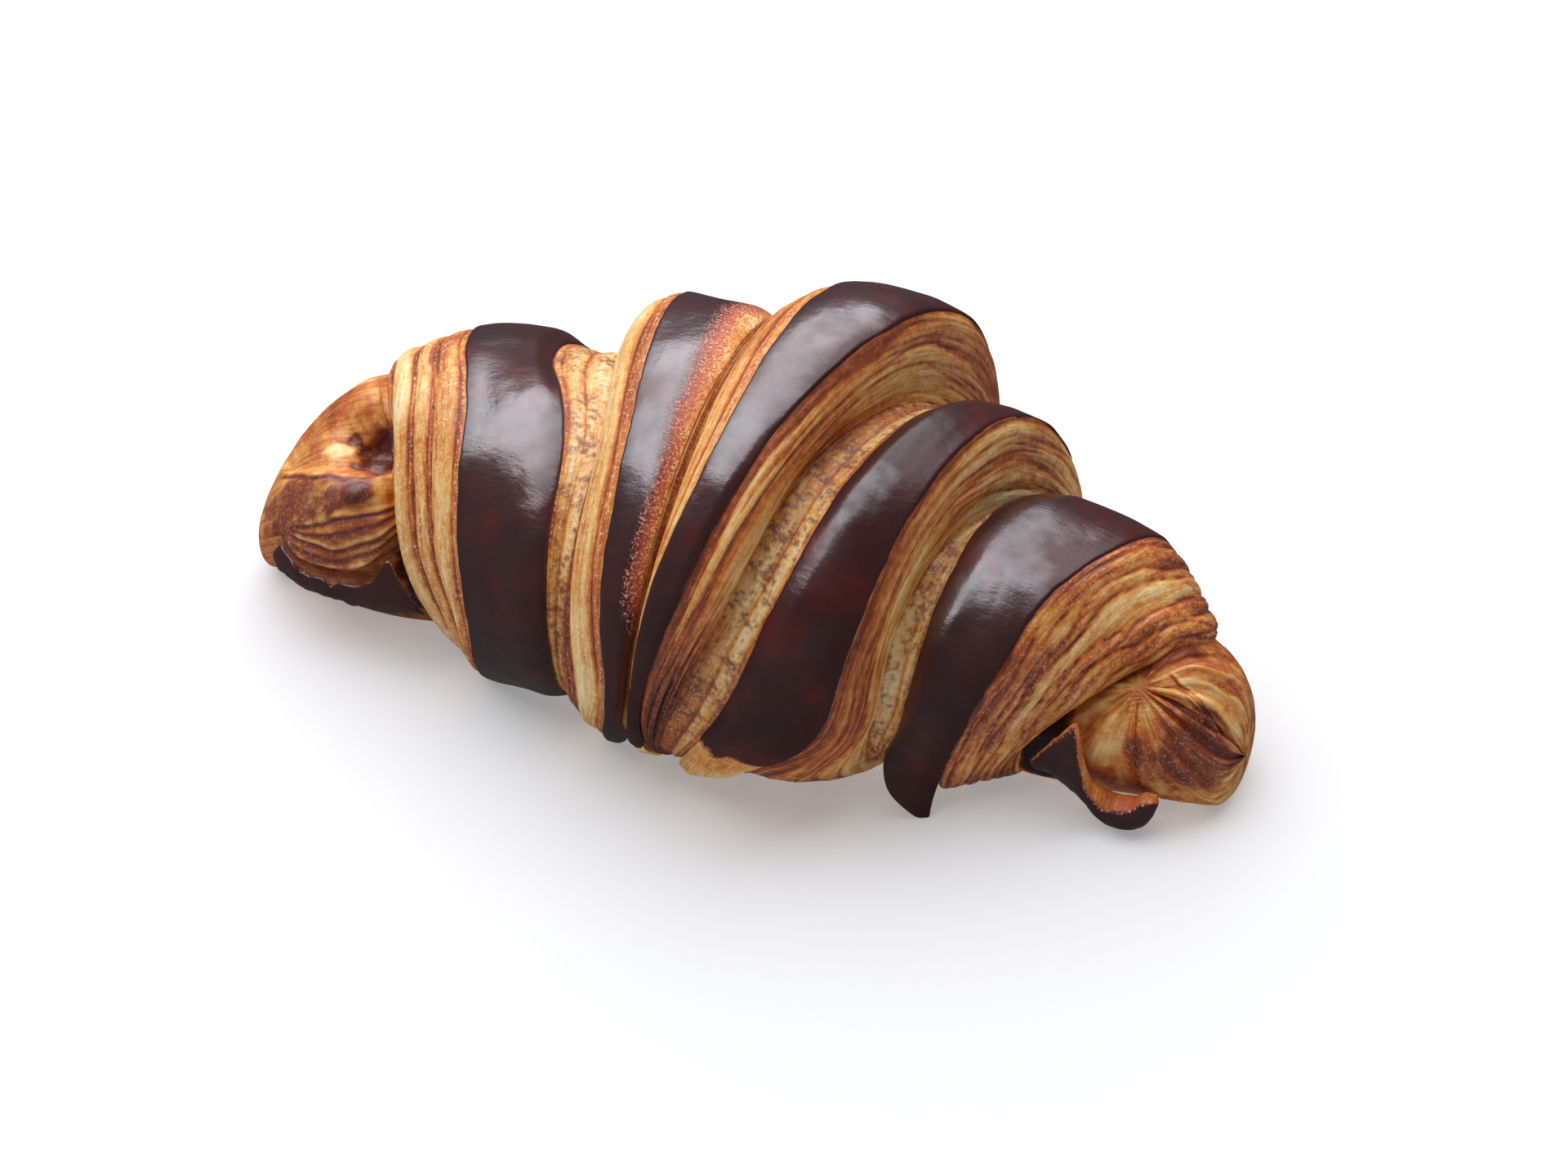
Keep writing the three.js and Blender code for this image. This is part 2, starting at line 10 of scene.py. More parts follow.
import bpy
import numpy as np
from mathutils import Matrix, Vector


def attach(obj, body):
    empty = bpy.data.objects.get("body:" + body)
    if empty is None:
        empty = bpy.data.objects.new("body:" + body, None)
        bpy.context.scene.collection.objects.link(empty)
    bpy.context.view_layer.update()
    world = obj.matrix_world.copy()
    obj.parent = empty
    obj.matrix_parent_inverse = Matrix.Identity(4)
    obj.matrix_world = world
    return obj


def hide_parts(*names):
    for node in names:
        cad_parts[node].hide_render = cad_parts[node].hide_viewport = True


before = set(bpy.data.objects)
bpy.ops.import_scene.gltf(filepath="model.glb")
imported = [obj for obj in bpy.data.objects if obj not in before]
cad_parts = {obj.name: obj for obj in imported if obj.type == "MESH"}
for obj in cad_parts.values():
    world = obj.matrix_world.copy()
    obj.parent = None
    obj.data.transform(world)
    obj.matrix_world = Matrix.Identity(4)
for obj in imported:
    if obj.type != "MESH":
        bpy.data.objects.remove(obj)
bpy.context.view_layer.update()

METRES = 0.001

# The whole roll, as in the solids
HALF_CHORD = 75.0
WIDTH_FACTOR = 1.04
BASE_SINK = 5.0
FULL_SINK_RADIUS = 30.0
CENTRE_SHIFT = (0.0, 2.07, 0.0)
THICKNESS = (
    (-75, 6.4), (-66, 14.4), (-56, 19.5), (-45, 21.8), (-36, 22.8), (-24, 28.3), (-10, 29.8), (5, 33.5),
    (14, 34.5), (24, 32.3), (33, 25.2), (45, 19.7), (56, 15.9), (66, 12.8), (75, 8.2),
)
CRESCENT = (
    (-75, -2.3), (-50, 0), (-37, 2.9), (-25, 1.1), (-12, -2.4), (0, -3.1), (12, -2.3),
    (25, -0.6), (37, 3.5), (50, 4), (75, 1.3),
)

# Lines round the roll are given by their place at these angles
LINE_ANGLES = (50, 80, 110, 145, 185, 270)
STRIPS = (
    dict(name="1", level=0.75, foot_left=(-39.7, -44.4, -46.6, -49.8, -56.3, -61),
         left=(-32.2, -30.1, -32.3, -36, -44, -47), right=(-17.3, -15.9, -17.1, -20, -30.6, -31),
         foot_right=None),
    dict(name="2", level=0.7, foot_left=(-15.8, -14.6, -13.9, -14.3, -19.4, -26),
         left=(-9.4, -4.9, -5.8, -7.4, -12.5, -19), right=(-6.4, -2.3, 0.1, 1.1, 0.5, -5),
         foot_right=None),
    dict(name="3", level=0.6, foot_left=(-5.1, -1.4, 1, 2.3, 1.5, 1),
         left=(-4.2, -0.6, 2, 6.6, 8.2, 4.5), right=(-1.6, 1.1, 6.6, 13.1, 20.6, 24.5),
         foot_right=(0.6, 6.7, 13.3, 17.5, 22, 28.5)),
    dict(name="4", level=0.8, foot_left=None,
         left=(3, 12.8, 18.4, 22.4, 26, 32.5), right=(12.5, 25.3, 29.1, 31.6, 35, 39.5),
         foot_right=(27.9, 30.5, 31, 32.9, 36.3, 43)),
    dict(name="5", level=0.75, foot_left=None,
         left=(29.2, 32.8, 34.3, 35.4, 37.2, 44.5), right=(36.9, 40.4, 44.3, 48.6, 54.9, 56),
         foot_right=(46, 50, 56.2, 61.4, 67.5, 65)),
)

# Heights above the thickness along one band, and points of a cut edge, each with its share of the way
# from the foot to the rim and its share of the foot's drop
RIM_LIFT = 0.4
BAND_CROWN = 0.9
CROWN_SHARES = (0.3, 0.7)
FADE_DROP = 0.8
EDGE_POINTS = (("low", 0.12, 0.48), ("high", 0.5, 0.1))
GROOVE_DEPTH = 1.7
FLOOR_LIFT = 0.3
DEPTH_ANGLES = dict(full=(105, 285), none=(50, 315), least=0.4)
UNDERCUT = 1.3
FULL_UNDERCUT_REACH = 4.0

# The noses from their poles to the folds beside the outer bands. A tip has an inset and a scale. Other
# points have a share of the way to the foot, a drop, and a further drop where the nose is stepped.
NOSES = dict(
    left=dict(
        pole=-HALF_CHORD, inward=1, tips=((0.7, 0.5), (3, 0.86)), points=((0.35, 0.2, 0), (0.7, 0.4, 0.8)),
        fold=(2, 0.8, 2.2), shoulder=6.0, stepped=dict(full=(75, 140), none=(45, 172), least=0.22),
    ),
    right=dict(
        pole=HALF_CHORD, inward=-1, tips=((0.4, 0.56), (1.6, 0.86)), points=((0.5, 0.3, 0.5),),
        fold=(1.2, 0.6, 3.2), shoulder=5.4, stepped=dict(full=(62, 140), none=(35, 178), least=0.15),
    ),
)
CLEAR_OF_BASE = dict(full=(75, 290), none=(45, 320))

# The ledge, hollow and blister of the left nose and the fan of the right one. The hollow's place is
# counted from the first band's foot.
LEDGE = ((-70, 160), (-66.7, 141), (-62, 134), (-58, 131), (-53, 129), (-46, 130))
LEDGE_DEPTH = 1.8
LEDGE_SOFT = 7.0
LEDGE_TOP = (180, 162)
LEDGE_PLACES = dict(full=(-66, -50), none=(-71, -46))
HOLLOW = dict(place=-2.5, half_place=5, angle=149, half_angle=13, height=-4.5)
BLISTER = dict(place=-51.6, half_place=2.2, angle=122, half_angle=6, height=1.3)
FAN = dict(place=61, angle=133, wave=26, height=0.6, clear=4, per_degree=0.27)
FAN_ANGLES = dict(full=(60, 200), none=(35, 240))

# Two torn pieces of cocoa skin low at the front of the noses, clear of the roll. Each reaches from a
# low angle up to a high one along its places. The left one lies in a recess of the nose.
LIPS = (
    dict(name="cocoa_lip_left", inner=((-67, -1.8), (-42, -1.8)),
         low=((-67, 84), (-65, 74), (-63, 68), (-59, 66), (-55, 64), (-50, 64), (-45, 62), (-42, 60)),
         high=((-67, 92), (-64.5, 95), (-62.7, 87), (-60, 81), (-56, 79), (-52.3, 76), (-49.5, 80),
               (-47.4, 88), (-45.8, 94), (-44.4, 88), (-43.2, 78), (-42, 66)), rim=(0.1, -0.5),
         thickness=((-67, 1.8), (-63, 1.6), (-56, 1.4), (-47, 1), (-42, 1))),
    dict(name="cocoa_lip_right", rim=(0.75, 0.2),
         inner=((48.5, -1.6), (51, -0.8), (54, -0.2), (57, 0.1), (60, 0.3), (63, 0.4), (67, 0.3)),
         low=((48.5, 65), (51, 61), (54, 56), (57, 53), (60, 50), (63, 51), (65, 56), (67, 64)),
         high=((48.5, 70), (50.5, 81), (52.5, 92), (54.3, 101), (55.6, 104), (56.6, 86), (57.6, 74),
               (59, 68), (61, 66), (63, 68), (65, 75), (67, 82)),
         thickness=((48.5, 1.4), (54, 2.2), (57, 3.5), (60, 4.5), (64, 4.7), (67, 4.1))),
)
LIP_RECESS = dict(depth=2.8, above=(4, 10), full=(-68, -43), none=(-72.5, -38))

# How finely the dough is divided. A turn round the roll counts as a length at one mean radius.
ROW_STEP = 0.32
LEAST_ROWS = 4
HIDDEN_ROWS = 14
FINE_ANGLES = (28.0, 332.0)
FINE_TURN = 0.62
BASE_COLUMNS = 16
SAMPLES_PER_STATION = 14
MEAN_RADIUS = 26.0

# Angles that a stretch's usual width is taken over, and those where relief stands off the flat base
SEEN_ANGLES = (60, 300)
RELIEF_ANGLES = dict(full=(44, 316), none=(30, 330))

# The recess that the skin lies in
RECESS_DEPTH = 1.1
RECESS_WALL = (0.1, 0.7)

# Large numbers that mix the corners of the noise's lattice, and how many sizes rough noise has
WORD = 0xFFFFFFFF
CORNER_MIXERS = (374761393, 668265263, 2246822519, 1274126177)
SHIFT_MIXERS = ((13, 1103515245), (15, 1181783497))
LAST_SHIFT = 16
OCTAVES = 3


def soft_step(start, end, value):
    share = np.clip((value - start) / (end - start), 0, 1)
    return share * share * (3 - 2 * share)


def soft_window(window, value):
    full, none = window["full"], window["none"]
    return soft_step(none[0], full[0], value) * soft_step(none[1], full[1], value)


def eased(window, value):
    """1 inside a window and its least share outside."""
    return window["least"] + (1 - window["least"]) * soft_window(window, value)


def inside(rise, across, width):
    """0 at both sides of a strip and 1 inside it, after a rise between two distances."""
    return soft_step(*rise, across) * soft_step(*rise, width - across)


def hill(value, middle, half):
    return np.exp(-(((value - middle) / half) ** 2))


def mound(form, place, angle):
    """A mound, or a hollow where its height is negative, at a place and an angle."""
    across = hill(place, form["place"], form["half_place"])
    return form["height"] * across * hill(angle, form["angle"], form["half_angle"])


def cubic_between(first, last, first_slope, last_slope, share):
    step = share * share * (3 - 2 * share)
    slopes = share * (1 - share) ** 2 * first_slope - share * share * (1 - share) * last_slope
    return (1 - step) * first + step * last + slopes


def smooth_through(pairs, place):
    """The smooth curve through pairs of place and value."""
    knots, values = np.array(pairs, float).T
    reach = np.diff(knots)
    rate = np.diff(values) / reach
    inner = (rate[:-1] * reach[1:] + rate[1:] * reach[:-1]) / (reach[1:] + reach[:-1])
    slope = np.concatenate([rate[:1], inner, rate[-1:]])
    index = np.clip(np.searchsorted(knots, place, side="right") - 1, 0, len(knots) - 2)
    share = np.clip((place - knots[index]) / reach[index], 0, 1)
    return cubic_between(
        values[index], values[index + 1], slope[index] * reach[index],
        slope[index + 1] * reach[index], share,
    )


def roll_radius(place):
    return smooth_through(THICKNESS, place)


def axis_height(place):
    base = roll_radius(place)
    return base - BASE_SINK * np.clip(base / FULL_SINK_RADIUS, 0, 1)


def line_place(places, angle):
    """Place of a line round the roll, which closes on itself under the base."""
    count = len(LINE_ANGLES)
    pairs = [
        (LINE_ANGLES[index % count] + 360 * (index // count), places[index % count])
        for index in range(-2, count + 2)
    ]
    start = LINE_ANGLES[0]
    return smooth_through(pairs, start + (angle - start) % 360)


def lattice_value(x, y, z, seed):
    """A repeatable value from -1 to 1 for each corner of a lattice."""
    mixed = sum(part * mixer for part, mixer in zip((x, y, z, seed), CORNER_MIXERS)) & WORD
    for shift, mixer in SHIFT_MIXERS:
        mixed = ((mixed ^ (mixed >> shift)) * mixer) & WORD
    return (mixed ^ (mixed >> LAST_SHIFT)) / (0.5 * WORD) - 1


def noise(x, y, z, seed):
    """Smooth noise from -1 to 1 with bumps about one unit wide."""
    axes = np.broadcast_arrays(*(np.asarray(axis, float) for axis in (x, y, z)))
    cells = [np.floor(axis).astype(np.int64) for axis in axes]
    soft = []
    for axis, cell in zip(axes, cells):
        part = axis - cell
        soft.append(part * part * part * (part * (part * 6 - 15) + 10))
    total = 0
    for corner in range(8):
        ends = [corner >> number & 1 for number in range(3)]
        weight = 1
        for end, share in zip(ends, soft):
            weight = weight * (share if end else 1 - share)
        total = total + weight * lattice_value(*(c + e for c, e in zip(cells, ends)), seed)
    return total


def rough_noise(x, y, z, seed):
    total, size = 0, 1.0
    for octave in range(OCTAVES):
        total = total + size * noise(x / size, y / size, z / size, seed + octave)
        size *= 0.5
    return total


def layer_noise(kind, across, along, layer=0, make=noise):
    """Noise of a kind, which is a rate across, a length along, a seed and an amount."""
    rate, length, seed, amount = kind
    return amount * make(across * rate, along / length, layer, seed)


def point_noise(points, kind, seed):
    size, number = kind
    return rough_noise(*(points[..., axis] / size for axis in range(3)), seed + number)


def fan_place(place, angle):
    """Direction in degrees and distance of a place from the point where the right nose's pleats meet."""
    up = (angle - FAN["angle"]) * FAN["per_degree"]
    along = place - FAN["place"]
    return np.degrees(np.arctan2(up, along)), np.hypot(up, along)


class Profile:
    """The lengthwise profile of the roll at many angles: stations, each a place and a radius."""

    def __init__(self, angles):
        self.angles = np.asarray(angles, float)
        self.names, self.places, self.radii = [], [], []
        self.first_foot = self.line(STRIPS[0], "foot_left")
        self.last_foot = self.line(STRIPS[-1], "foot_right")
        self.clear = soft_window(CLEAR_OF_BASE, self.angles)
        self.depth = eased(DEPTH_ANGLES, self.angles)
        self.build()
        self.places = np.array(self.places)
        self.radii = np.array(self.radii)

    def number(self, name):
        return self.names.index(name)

    def line(self, strip, label):
        return line_place(strip[label], self.angles)

    def add(self, name, place, offset, scale=1.0):
        place = place + 0 * self.angles
        self.names.append(name)
        self.places.append(place)
        self.radii.append(roll_radius(place) * scale + offset)

    def build(self):
        for station in self.nose_stations("left", self.first_foot):
            self.add(*station)
        bottom = self.shoulder_foot("left", self.first_foot, self.depth)
        for strip, following in zip(STRIPS, STRIPS[1:] + (None,)):
            self.add_edge(strip, "left", bottom)
            self.add_band(strip)
            if following:
                bottom = self.groove_radius(strip, following)
                self.add_edge(strip, "right", bottom)
                self.add_floor(strip, following)
        self.add_edge(STRIPS[-1], "right", self.shoulder_foot("right", self.last_foot, 1))
        for station in reversed(self.nose_stations("right", self.last_foot)):
            self.add(*station)

    def nose_stations(self, side, foot):
        """Name, place, height and scale of each station of a nose, from its pole to its fold."""
        nose = NOSES[side]
        pole, inward = nose["pole"], nose["inward"]
        stepped = soft_window(nose["stepped"], self.angles)
        stations = [(f"pole_{side}", pole, 0, 0)]
        for inset, scale in nose["tips"]:
            stations.append((f"tip_{side}", pole + inward * inset, 0, scale))
        for share, drop, step in nose["points"]:
            stations.append((f"nose_{side}", pole + share * (foot - pole), -drop - step * stepped))
        before, drop, step = nose["fold"]
        stations.append((f"fold_{side}", foot - inward * before, -drop - step * stepped))
        return stations

    def shoulder_foot(self, side, foot, depth):
        """Radius at the foot of the edge between a nose and the band beside it."""
        nose = NOSES[side]
        return roll_radius(foot) - nose["shoulder"] * eased(nose["stepped"], self.angles) * depth

    def levelling(self, strip, place):
        """What brings a place on a band nearer to the level of the whole band at that angle."""
        start, end = self.line(strip, "left"), self.line(strip, "right")
        upward = np.maximum(0, -np.cos(np.radians(self.angles)))
        total = 0
        for values, share in ((roll_radius, 1), (axis_height, upward)):
            mean = (values(start) + 2 * values((start + end) / 2) + values(end)) / 4
            total = total + share * (mean - values(place))
        return strip["level"] * total

    def rim_lift(self, strip, side):
        """Height of a band's rim above the thickness there."""
        lift = RIM_LIFT if strip["foot_" + side] else -FADE_DROP
        return lift + self.levelling(strip, self.line(strip, side))

    def add_edge(self, strip, side, bottom):
        """The cut edge beside a band, between its rim and its foot, which has the given radius."""
        if not strip["foot_" + side]:
            return
        foot = self.line(strip, "foot_" + side)
        reach = self.line(strip, side) - foot
        under = foot + UNDERCUT * self.clear * np.clip(reach / FULL_UNDERCUT_REACH, -1, 1)
        lift, drop = self.rim_lift(strip, side), bottom - roll_radius(foot)
        points = [("foot", under, bottom - roll_radius(under))]
        for label, share, drop_share in EDGE_POINTS:
            points.append((label, foot + share * reach, share * lift + drop_share * drop))
        for label, place, offset in points if side == "left" else reversed(points):
            self.add(f"{label}_{side}_{strip['name']}", place, offset)

    def add_band(self, strip):
        name = strip["name"]
        start, end = self.line(strip, "left"), self.line(strip, "right")
        self.add(f"left_{name}", start, self.rim_lift(strip, "left"))
        for number, share in enumerate(CROWN_SHARES):
            place = start + share * (end - start)
            self.add(f"crown_{number}_{name}", place, BAND_CROWN + self.levelling(strip, place))
        self.add(f"right_{name}", end, self.rim_lift(strip, "right"))

    def groove_radius(self, strip, following):
        """Radius of the groove between two bands: below the rim of the one that fades into it."""
        band, side = (strip, "right") if following["foot_left"] else (following, "left")
        rim = roll_radius(self.line(band, side)) + self.rim_lift(band, side)
        return rim - GROOVE_DEPTH * self.depth

    def add_floor(self, strip, following):
        start = self.line(strip, "foot_right" if strip["foot_right"] else "right")
        end = self.line(following, "foot_left" if following["foot_left"] else "left")
        place = (start + end) / 2
        radius = self.groove_radius(strip, following) + FLOOR_LIFT
        self.add(f"floor_{strip['name']}", place, radius - roll_radius(place))

    def nose_relief(self, place):
        """Height of the ledge, hollow, blister and recess of the left nose and of the right one's fan."""
        angle = self.angles
        ledge = smooth_through(LEDGE, place)
        above = soft_step(ledge, ledge + LEDGE_SOFT, angle)
        step = LEDGE_DEPTH * above * soft_step(*LEDGE_TOP, angle) * soft_window(LEDGE_PLACES, place)
        mounds = mound(HOLLOW, place - self.first_foot, angle) + mound(BLISTER, place, angle)
        direction, distance = fan_place(place, angle)
        reach = soft_step(0, FAN["clear"], distance) * soft_window(FAN_ANGLES, angle)
        fan = FAN["height"] * reach * np.cos(direction / FAN["wave"] * 2 * math.pi)
        lip = smooth_through(LIPS[0]["high"], place)
        recess = soft_step(lip + LIP_RECESS["above"][1], lip + LIP_RECESS["above"][0], angle)
        recess = LIP_RECESS["depth"] * recess * soft_window(LIP_RECESS, place)
        left = np.where(place < self.first_foot, mounds - step - recess, 0)
        return np.where(place > self.last_foot, fan, left)

    def curve(self, position):
        """Place and radius between the stations, with no relief."""
        count = len(self.names)
        position = np.broadcast_to(position[:, None], (len(position), len(self.angles)))
        index = np.clip(np.floor(position).astype(int), 0, count - 2)
        share = position - index
        result = []
        for values in (self.places, self.radii):
            change = np.diff(values, axis=0)
            before, after = change[:-1], change[1:]
            same = before * after > 0
            slope = np.where(same, 2 * before * after / np.where(same, before + after, 1), 0)
            none = np.zeros((1, values.shape[1]))
            slope = np.concatenate([none, slope, none])
            parts = [np.take_along_axis(values, index + end, 0) for end in (0, 1)]
            slopes = [np.take_along_axis(slope, index + end, 0) for end in (0, 1)]
            result.append(cubic_between(*parts, *slopes, share))
        return result

    def at(self, position):
        place, radius = self.curve(position)
        return place, radius + self.nose_relief(place)


def roll_points(place, radius, angle):
    """Points in millimetres for places, radii and angles."""
    on_chord = np.clip(place, -HALF_CHORD, HALF_CHORD)
    turn = np.radians(angle)
    side = WIDTH_FACTOR * radius * np.sin(turn)
    height = axis_height(on_chord) - radius * np.cos(turn)
    return np.stack(np.broadcast_arrays(place, smooth_through(CRESCENT, on_chord) - side, height), -1)


def unit(vectors):
    return vectors / np.maximum(np.linalg.norm(vectors, axis=-1, keepdims=True), 1e-9)


def surface_normals(points):
    """Outward normals of a grid of points with rows along the roll and columns round it."""
    return unit(np.cross(np.gradient(points, axis=0), np.gradient(points, axis=1)))


# Stretches of dough along the roll. Each goes from where the one before ends to its last station, and
# one without strands lies hidden under a band. Strands are the layers of a cut edge, each with its
# share of the width, its height and its tone, from pale 0 to burnt 1. Wander is how far they stray,
# fibre and lamina are the heights of the fine fibres and of the layer lines, all in millimetres, and
# valley, speck, stain and painted glint tell how dark the valleys are and how much brown speckle,
# cocoa tint and pale flecks there are, the flecks being painted glints of the glaze. Below adds
# painted shade low on the roll and above, being negative, paints light high on it. The painted foot
# shadow adds its tone near a foot, over a distance from it and over angles.
NOSE = dict(wander=0, fibre=0.03, lamina=0, valley=0, speck=0, painted_glint=0.3)
EDGE = dict(wander=0.08, fibre=0.06, lamina=0.1, valley=0.35, speck=0, stain=0, painted_glint=0.9)
FLAKY = dict(wander=0.2, fibre=0.09, lamina=0.16, valley=0.16, speck=0, stain=0.06, painted_glint=0.2)
FLOOR = dict(wander=0.14, fibre=0.12, lamina=0.05, valley=0.1, speck=1, stain=0, painted_glint=0.9)
STRETCHES = (
    dict(NOSE, last="foot_left_1", stain=0.1, strands=((1, 0, 0.54),)),
    dict(EDGE, last="left_1", wander=0.07, fibre=0.05, valley=0.36, speck=0.1, painted_glint=1,
         # Painted shadow: this edge's foot is darkened low on the roll, where it lies in shade.
         shade=(0.9, (3, 1.4), (94, 86)),
         strands=((0.5, 0.5, 0.5), (0.45, 0.35, 0.36), (1.5, 0.9, 0.27), (0.22, 0.1, 0.58),
                  (1.1, 0.75, 0.33), (0.2, 0.1, 0.6), (1.2, 0.6, 0.42), (0.3, 0.2, 0.5))),
    dict(last="right_1"),
    dict(EDGE, last="floor_1", wander=0.12, fibre=0.08, lamina=0.08, valley=0.25, speck=0.8, stain=0.05,
         painted_glint=1, strands=((0.35, 0.3, 0.48), (1.2, 0.4, 0.32))),
    dict(FLOOR, last="foot_left_2", valley=0.15, painted_glint=0.8, strands=((1, 0.3, 0.28), (0.45, 0.3, 0.44))),
    dict(EDGE, last="left_2",
         strands=((0.8, 0.55, 0.42), (0.25, 0.1, 0.66), (1.4, 0.6, 0.26), (0.4, 0.2, 0.56))),
    dict(last="right_2"),
    dict(EDGE, last="floor_2", wander=0.1, fibre=0.09, valley=0.3, speck=0.15, stain=0.35,
         strands=((0.7, 0.3, 0.42), (1, 0.35, 0.28))),
    dict(EDGE, last="foot_left_3", wander=0.1, fibre=0.08, speck=0.1, painted_glint=0.7,
         strands=((0.3, 0.1, 0.62), (1, 0.4, 0.28))),
    dict(EDGE, last="left_3", lamina=0.08, painted_glint=0.8, strands=((1, 0.45, 0.36), (0.35, 0.2, 0.56))),
    dict(last="right_3"),
    dict(FLAKY, last="foot_right_3", fibre=0.1, below=0.3, above=-0.09,
         strands=((0.25, 0.1, 0.74), (1.7, 0.35, 0.52), (1.3, 0.3, 0.46), (1.8, 0.35, 0.54),
                  (0.8, 0.3, 0.42))),
    dict(FLOOR, last="floor_3", wander=0.15, fibre=0.14, stain=0.1, painted_glint=0.6, below=0.35,
         strands=((1, 0.3, 0.3),)),
    dict(FLOOR, last="left_4", lamina=0.04, valley=0.2, below=0.3,
         strands=((1.6, 0.3, 0.16), (0.45, 0.5, 0.42), (0.3, 0.3, 0.6))),
    dict(last="right_4"),
    dict(FLAKY, last="foot_right_4", lamina=0.15, valley=0.14, stain=0, painted_glint=0.15, above=-0.1,
         strands=((0.25, 0.1, 0.7), (1.8, 0.35, 0.52), (1.4, 0.3, 0.46), (1.2, 0.25, 0.26))),
    dict(FLOOR, last="floor_4", wander=0.15, stain=0.1, painted_glint=0.6, strands=((1, 0.3, 0.26),)),
    dict(FLOOR, last="left_5", fibre=0.1, valley=0.2, speck=0.85, painted_glint=0.8,
         strands=((1, 0.4, 0.16), (0.5, 0.45, 0.4))),
    dict(last="right_5"),
    dict(FLAKY, last="foot_right_5", wander=0.22, valley=0.2, painted_glint=0.5,
         strands=((0.3, 0.1, 0.6), (1.4, 0.4, 0.44), (0.9, 0.45, 0.52), (1.5, 0.5, 0.42),
                  (1, 0.6, 0.58), (1.3, 0.5, 0.5), (0.5, 0.3, 0.42))),
    dict(NOSE, last="pole_right", stain=0.08, strands=((1, 0, 0.53),)),
)
# Angles over which the painted shade low on the roll and the painted light high on it come in
PAINTED_SHADE_ANGLES = (112, 72)
PAINTED_LIGHT_ANGLES = (100, 145)
SURFACE_VALUES = ("tone", "stain", "speck", "painted_glint")
HIDDEN_VALUE = 0.4
SIDE_RISE = (0, 0.5)

# Noises in the layers of dough: rate across, length along, seed and amount
STRAY, FINE_STRAY = (1.6, 26, 11, 1), (4, 9, 12, 0.4)
STRAND_SIZE, STRAND_TONE = (3.7, 15, 13, 0.5), (5.3, 21, 14, 0.1)
DRAWN, FINE, BROAD = (1 / 4, 9, 15, 0.6), (1 / 0.75, 8, 16, 1), (1 / 2.1, 14, 17, 1)
CLOUD, LAYER_STRAY = (1 / 7, 9, 18, 0.09), (1 / 3, 12, 19, 0.5)
LAYER_SEEN, LAYER_TONE = (7.3, 13, 20, 1), (5.7, 19, 21, 0.9)

# How the noises shape the strands and the thin layers in them, and how they darken them
MEAN_SIZE = 0.85
STRAND_POWER = 2.6
BROAD_HEIGHT = 1.2
LAYER_STEP = 0.95
SEEN_RANGE = (-0.35, 0.5)
LINE = dict(middle=0.5, half=0.17, tone=2.2)
VALLEY_TONES = ((1, 5), (0.6, 14))
FINE_TONE = 0.06
BROAD_TONE = 0.1
DARKEST = 0.84

# Marks on the noses, some of them painted shade: place and angle, half sizes along both, and what
# they add to tone, stain and height
MARKS_AND_PAINTED_SHADE = (
    ((-56.8, 155), (1.1, 3.4), 0.4, 0.8, -0.2), ((-58.3, 147), (2.4, 4.5), -0.3, -0.2, 0.15),
    # The second mark here darkens the hollow: partly its dark cocoa skin, partly painted shade.
    ((-65, 149), (5, 8), 0.06, 0.1, 0.1), ((-51.6, 147), (4, 13), 0.6, 0.9, -0.9),
    ((-55.6, 151), (1.4, 8), 0.1, 0.1, 0.2), ((-51.5, 140), (1.7, 4), 0.1, 0, 1),
    ((-63, 121), (8, 12), 0.14, 0.75, 0.2), ((-53.6, 123), (3.6, 7), 0.1, 1, 0.3),
    ((-51.8, 122), (1.8, 3.8), 0.42, 1, 0.6), ((-48.4, 124), (1.6, 5), -0.06, -0.1, 0.2),
    ((-55.5, 101), (10, 14), 0.12, 0.7, 0), ((-66, 104), (4, 8), 0.2, 0.35, 0),
    # Each mark from here on that adds 0.9 to tone is painted shade in a gap under a shoulder.
    ((-58, 87), (9, 8), 0.12, 0.3, 0), ((-44, 80), (2.8, 16), 0.9, 0.6, 0),
    ((-42.6, 56), (3.4, 16), 0.9, 0.6, 0), ((50.8, 78), (2.8, 22), 0.9, 0.6, 0),
    ((48.6, 52), (3.2, 14), 0.9, 0.6, 0), ((56.5, 92), (3.4, 24), -0.16, 0, 0),
    ((70.5, 110), (5, 28), 0.28, 0.6, 0), ((72.6, 126), (3, 9), 0.2, 0.5, -0.3),
    ((71.5, 147), (2.2, 4), 0.3, 0.6, -0.4), ((65, 90), (4, 14), 0.2, 0.35, 0),
)
MARK_RAGGED = (1 / 1.5, 6, 31, 0.2)
MARK_FADE = (1.3, 0.6)

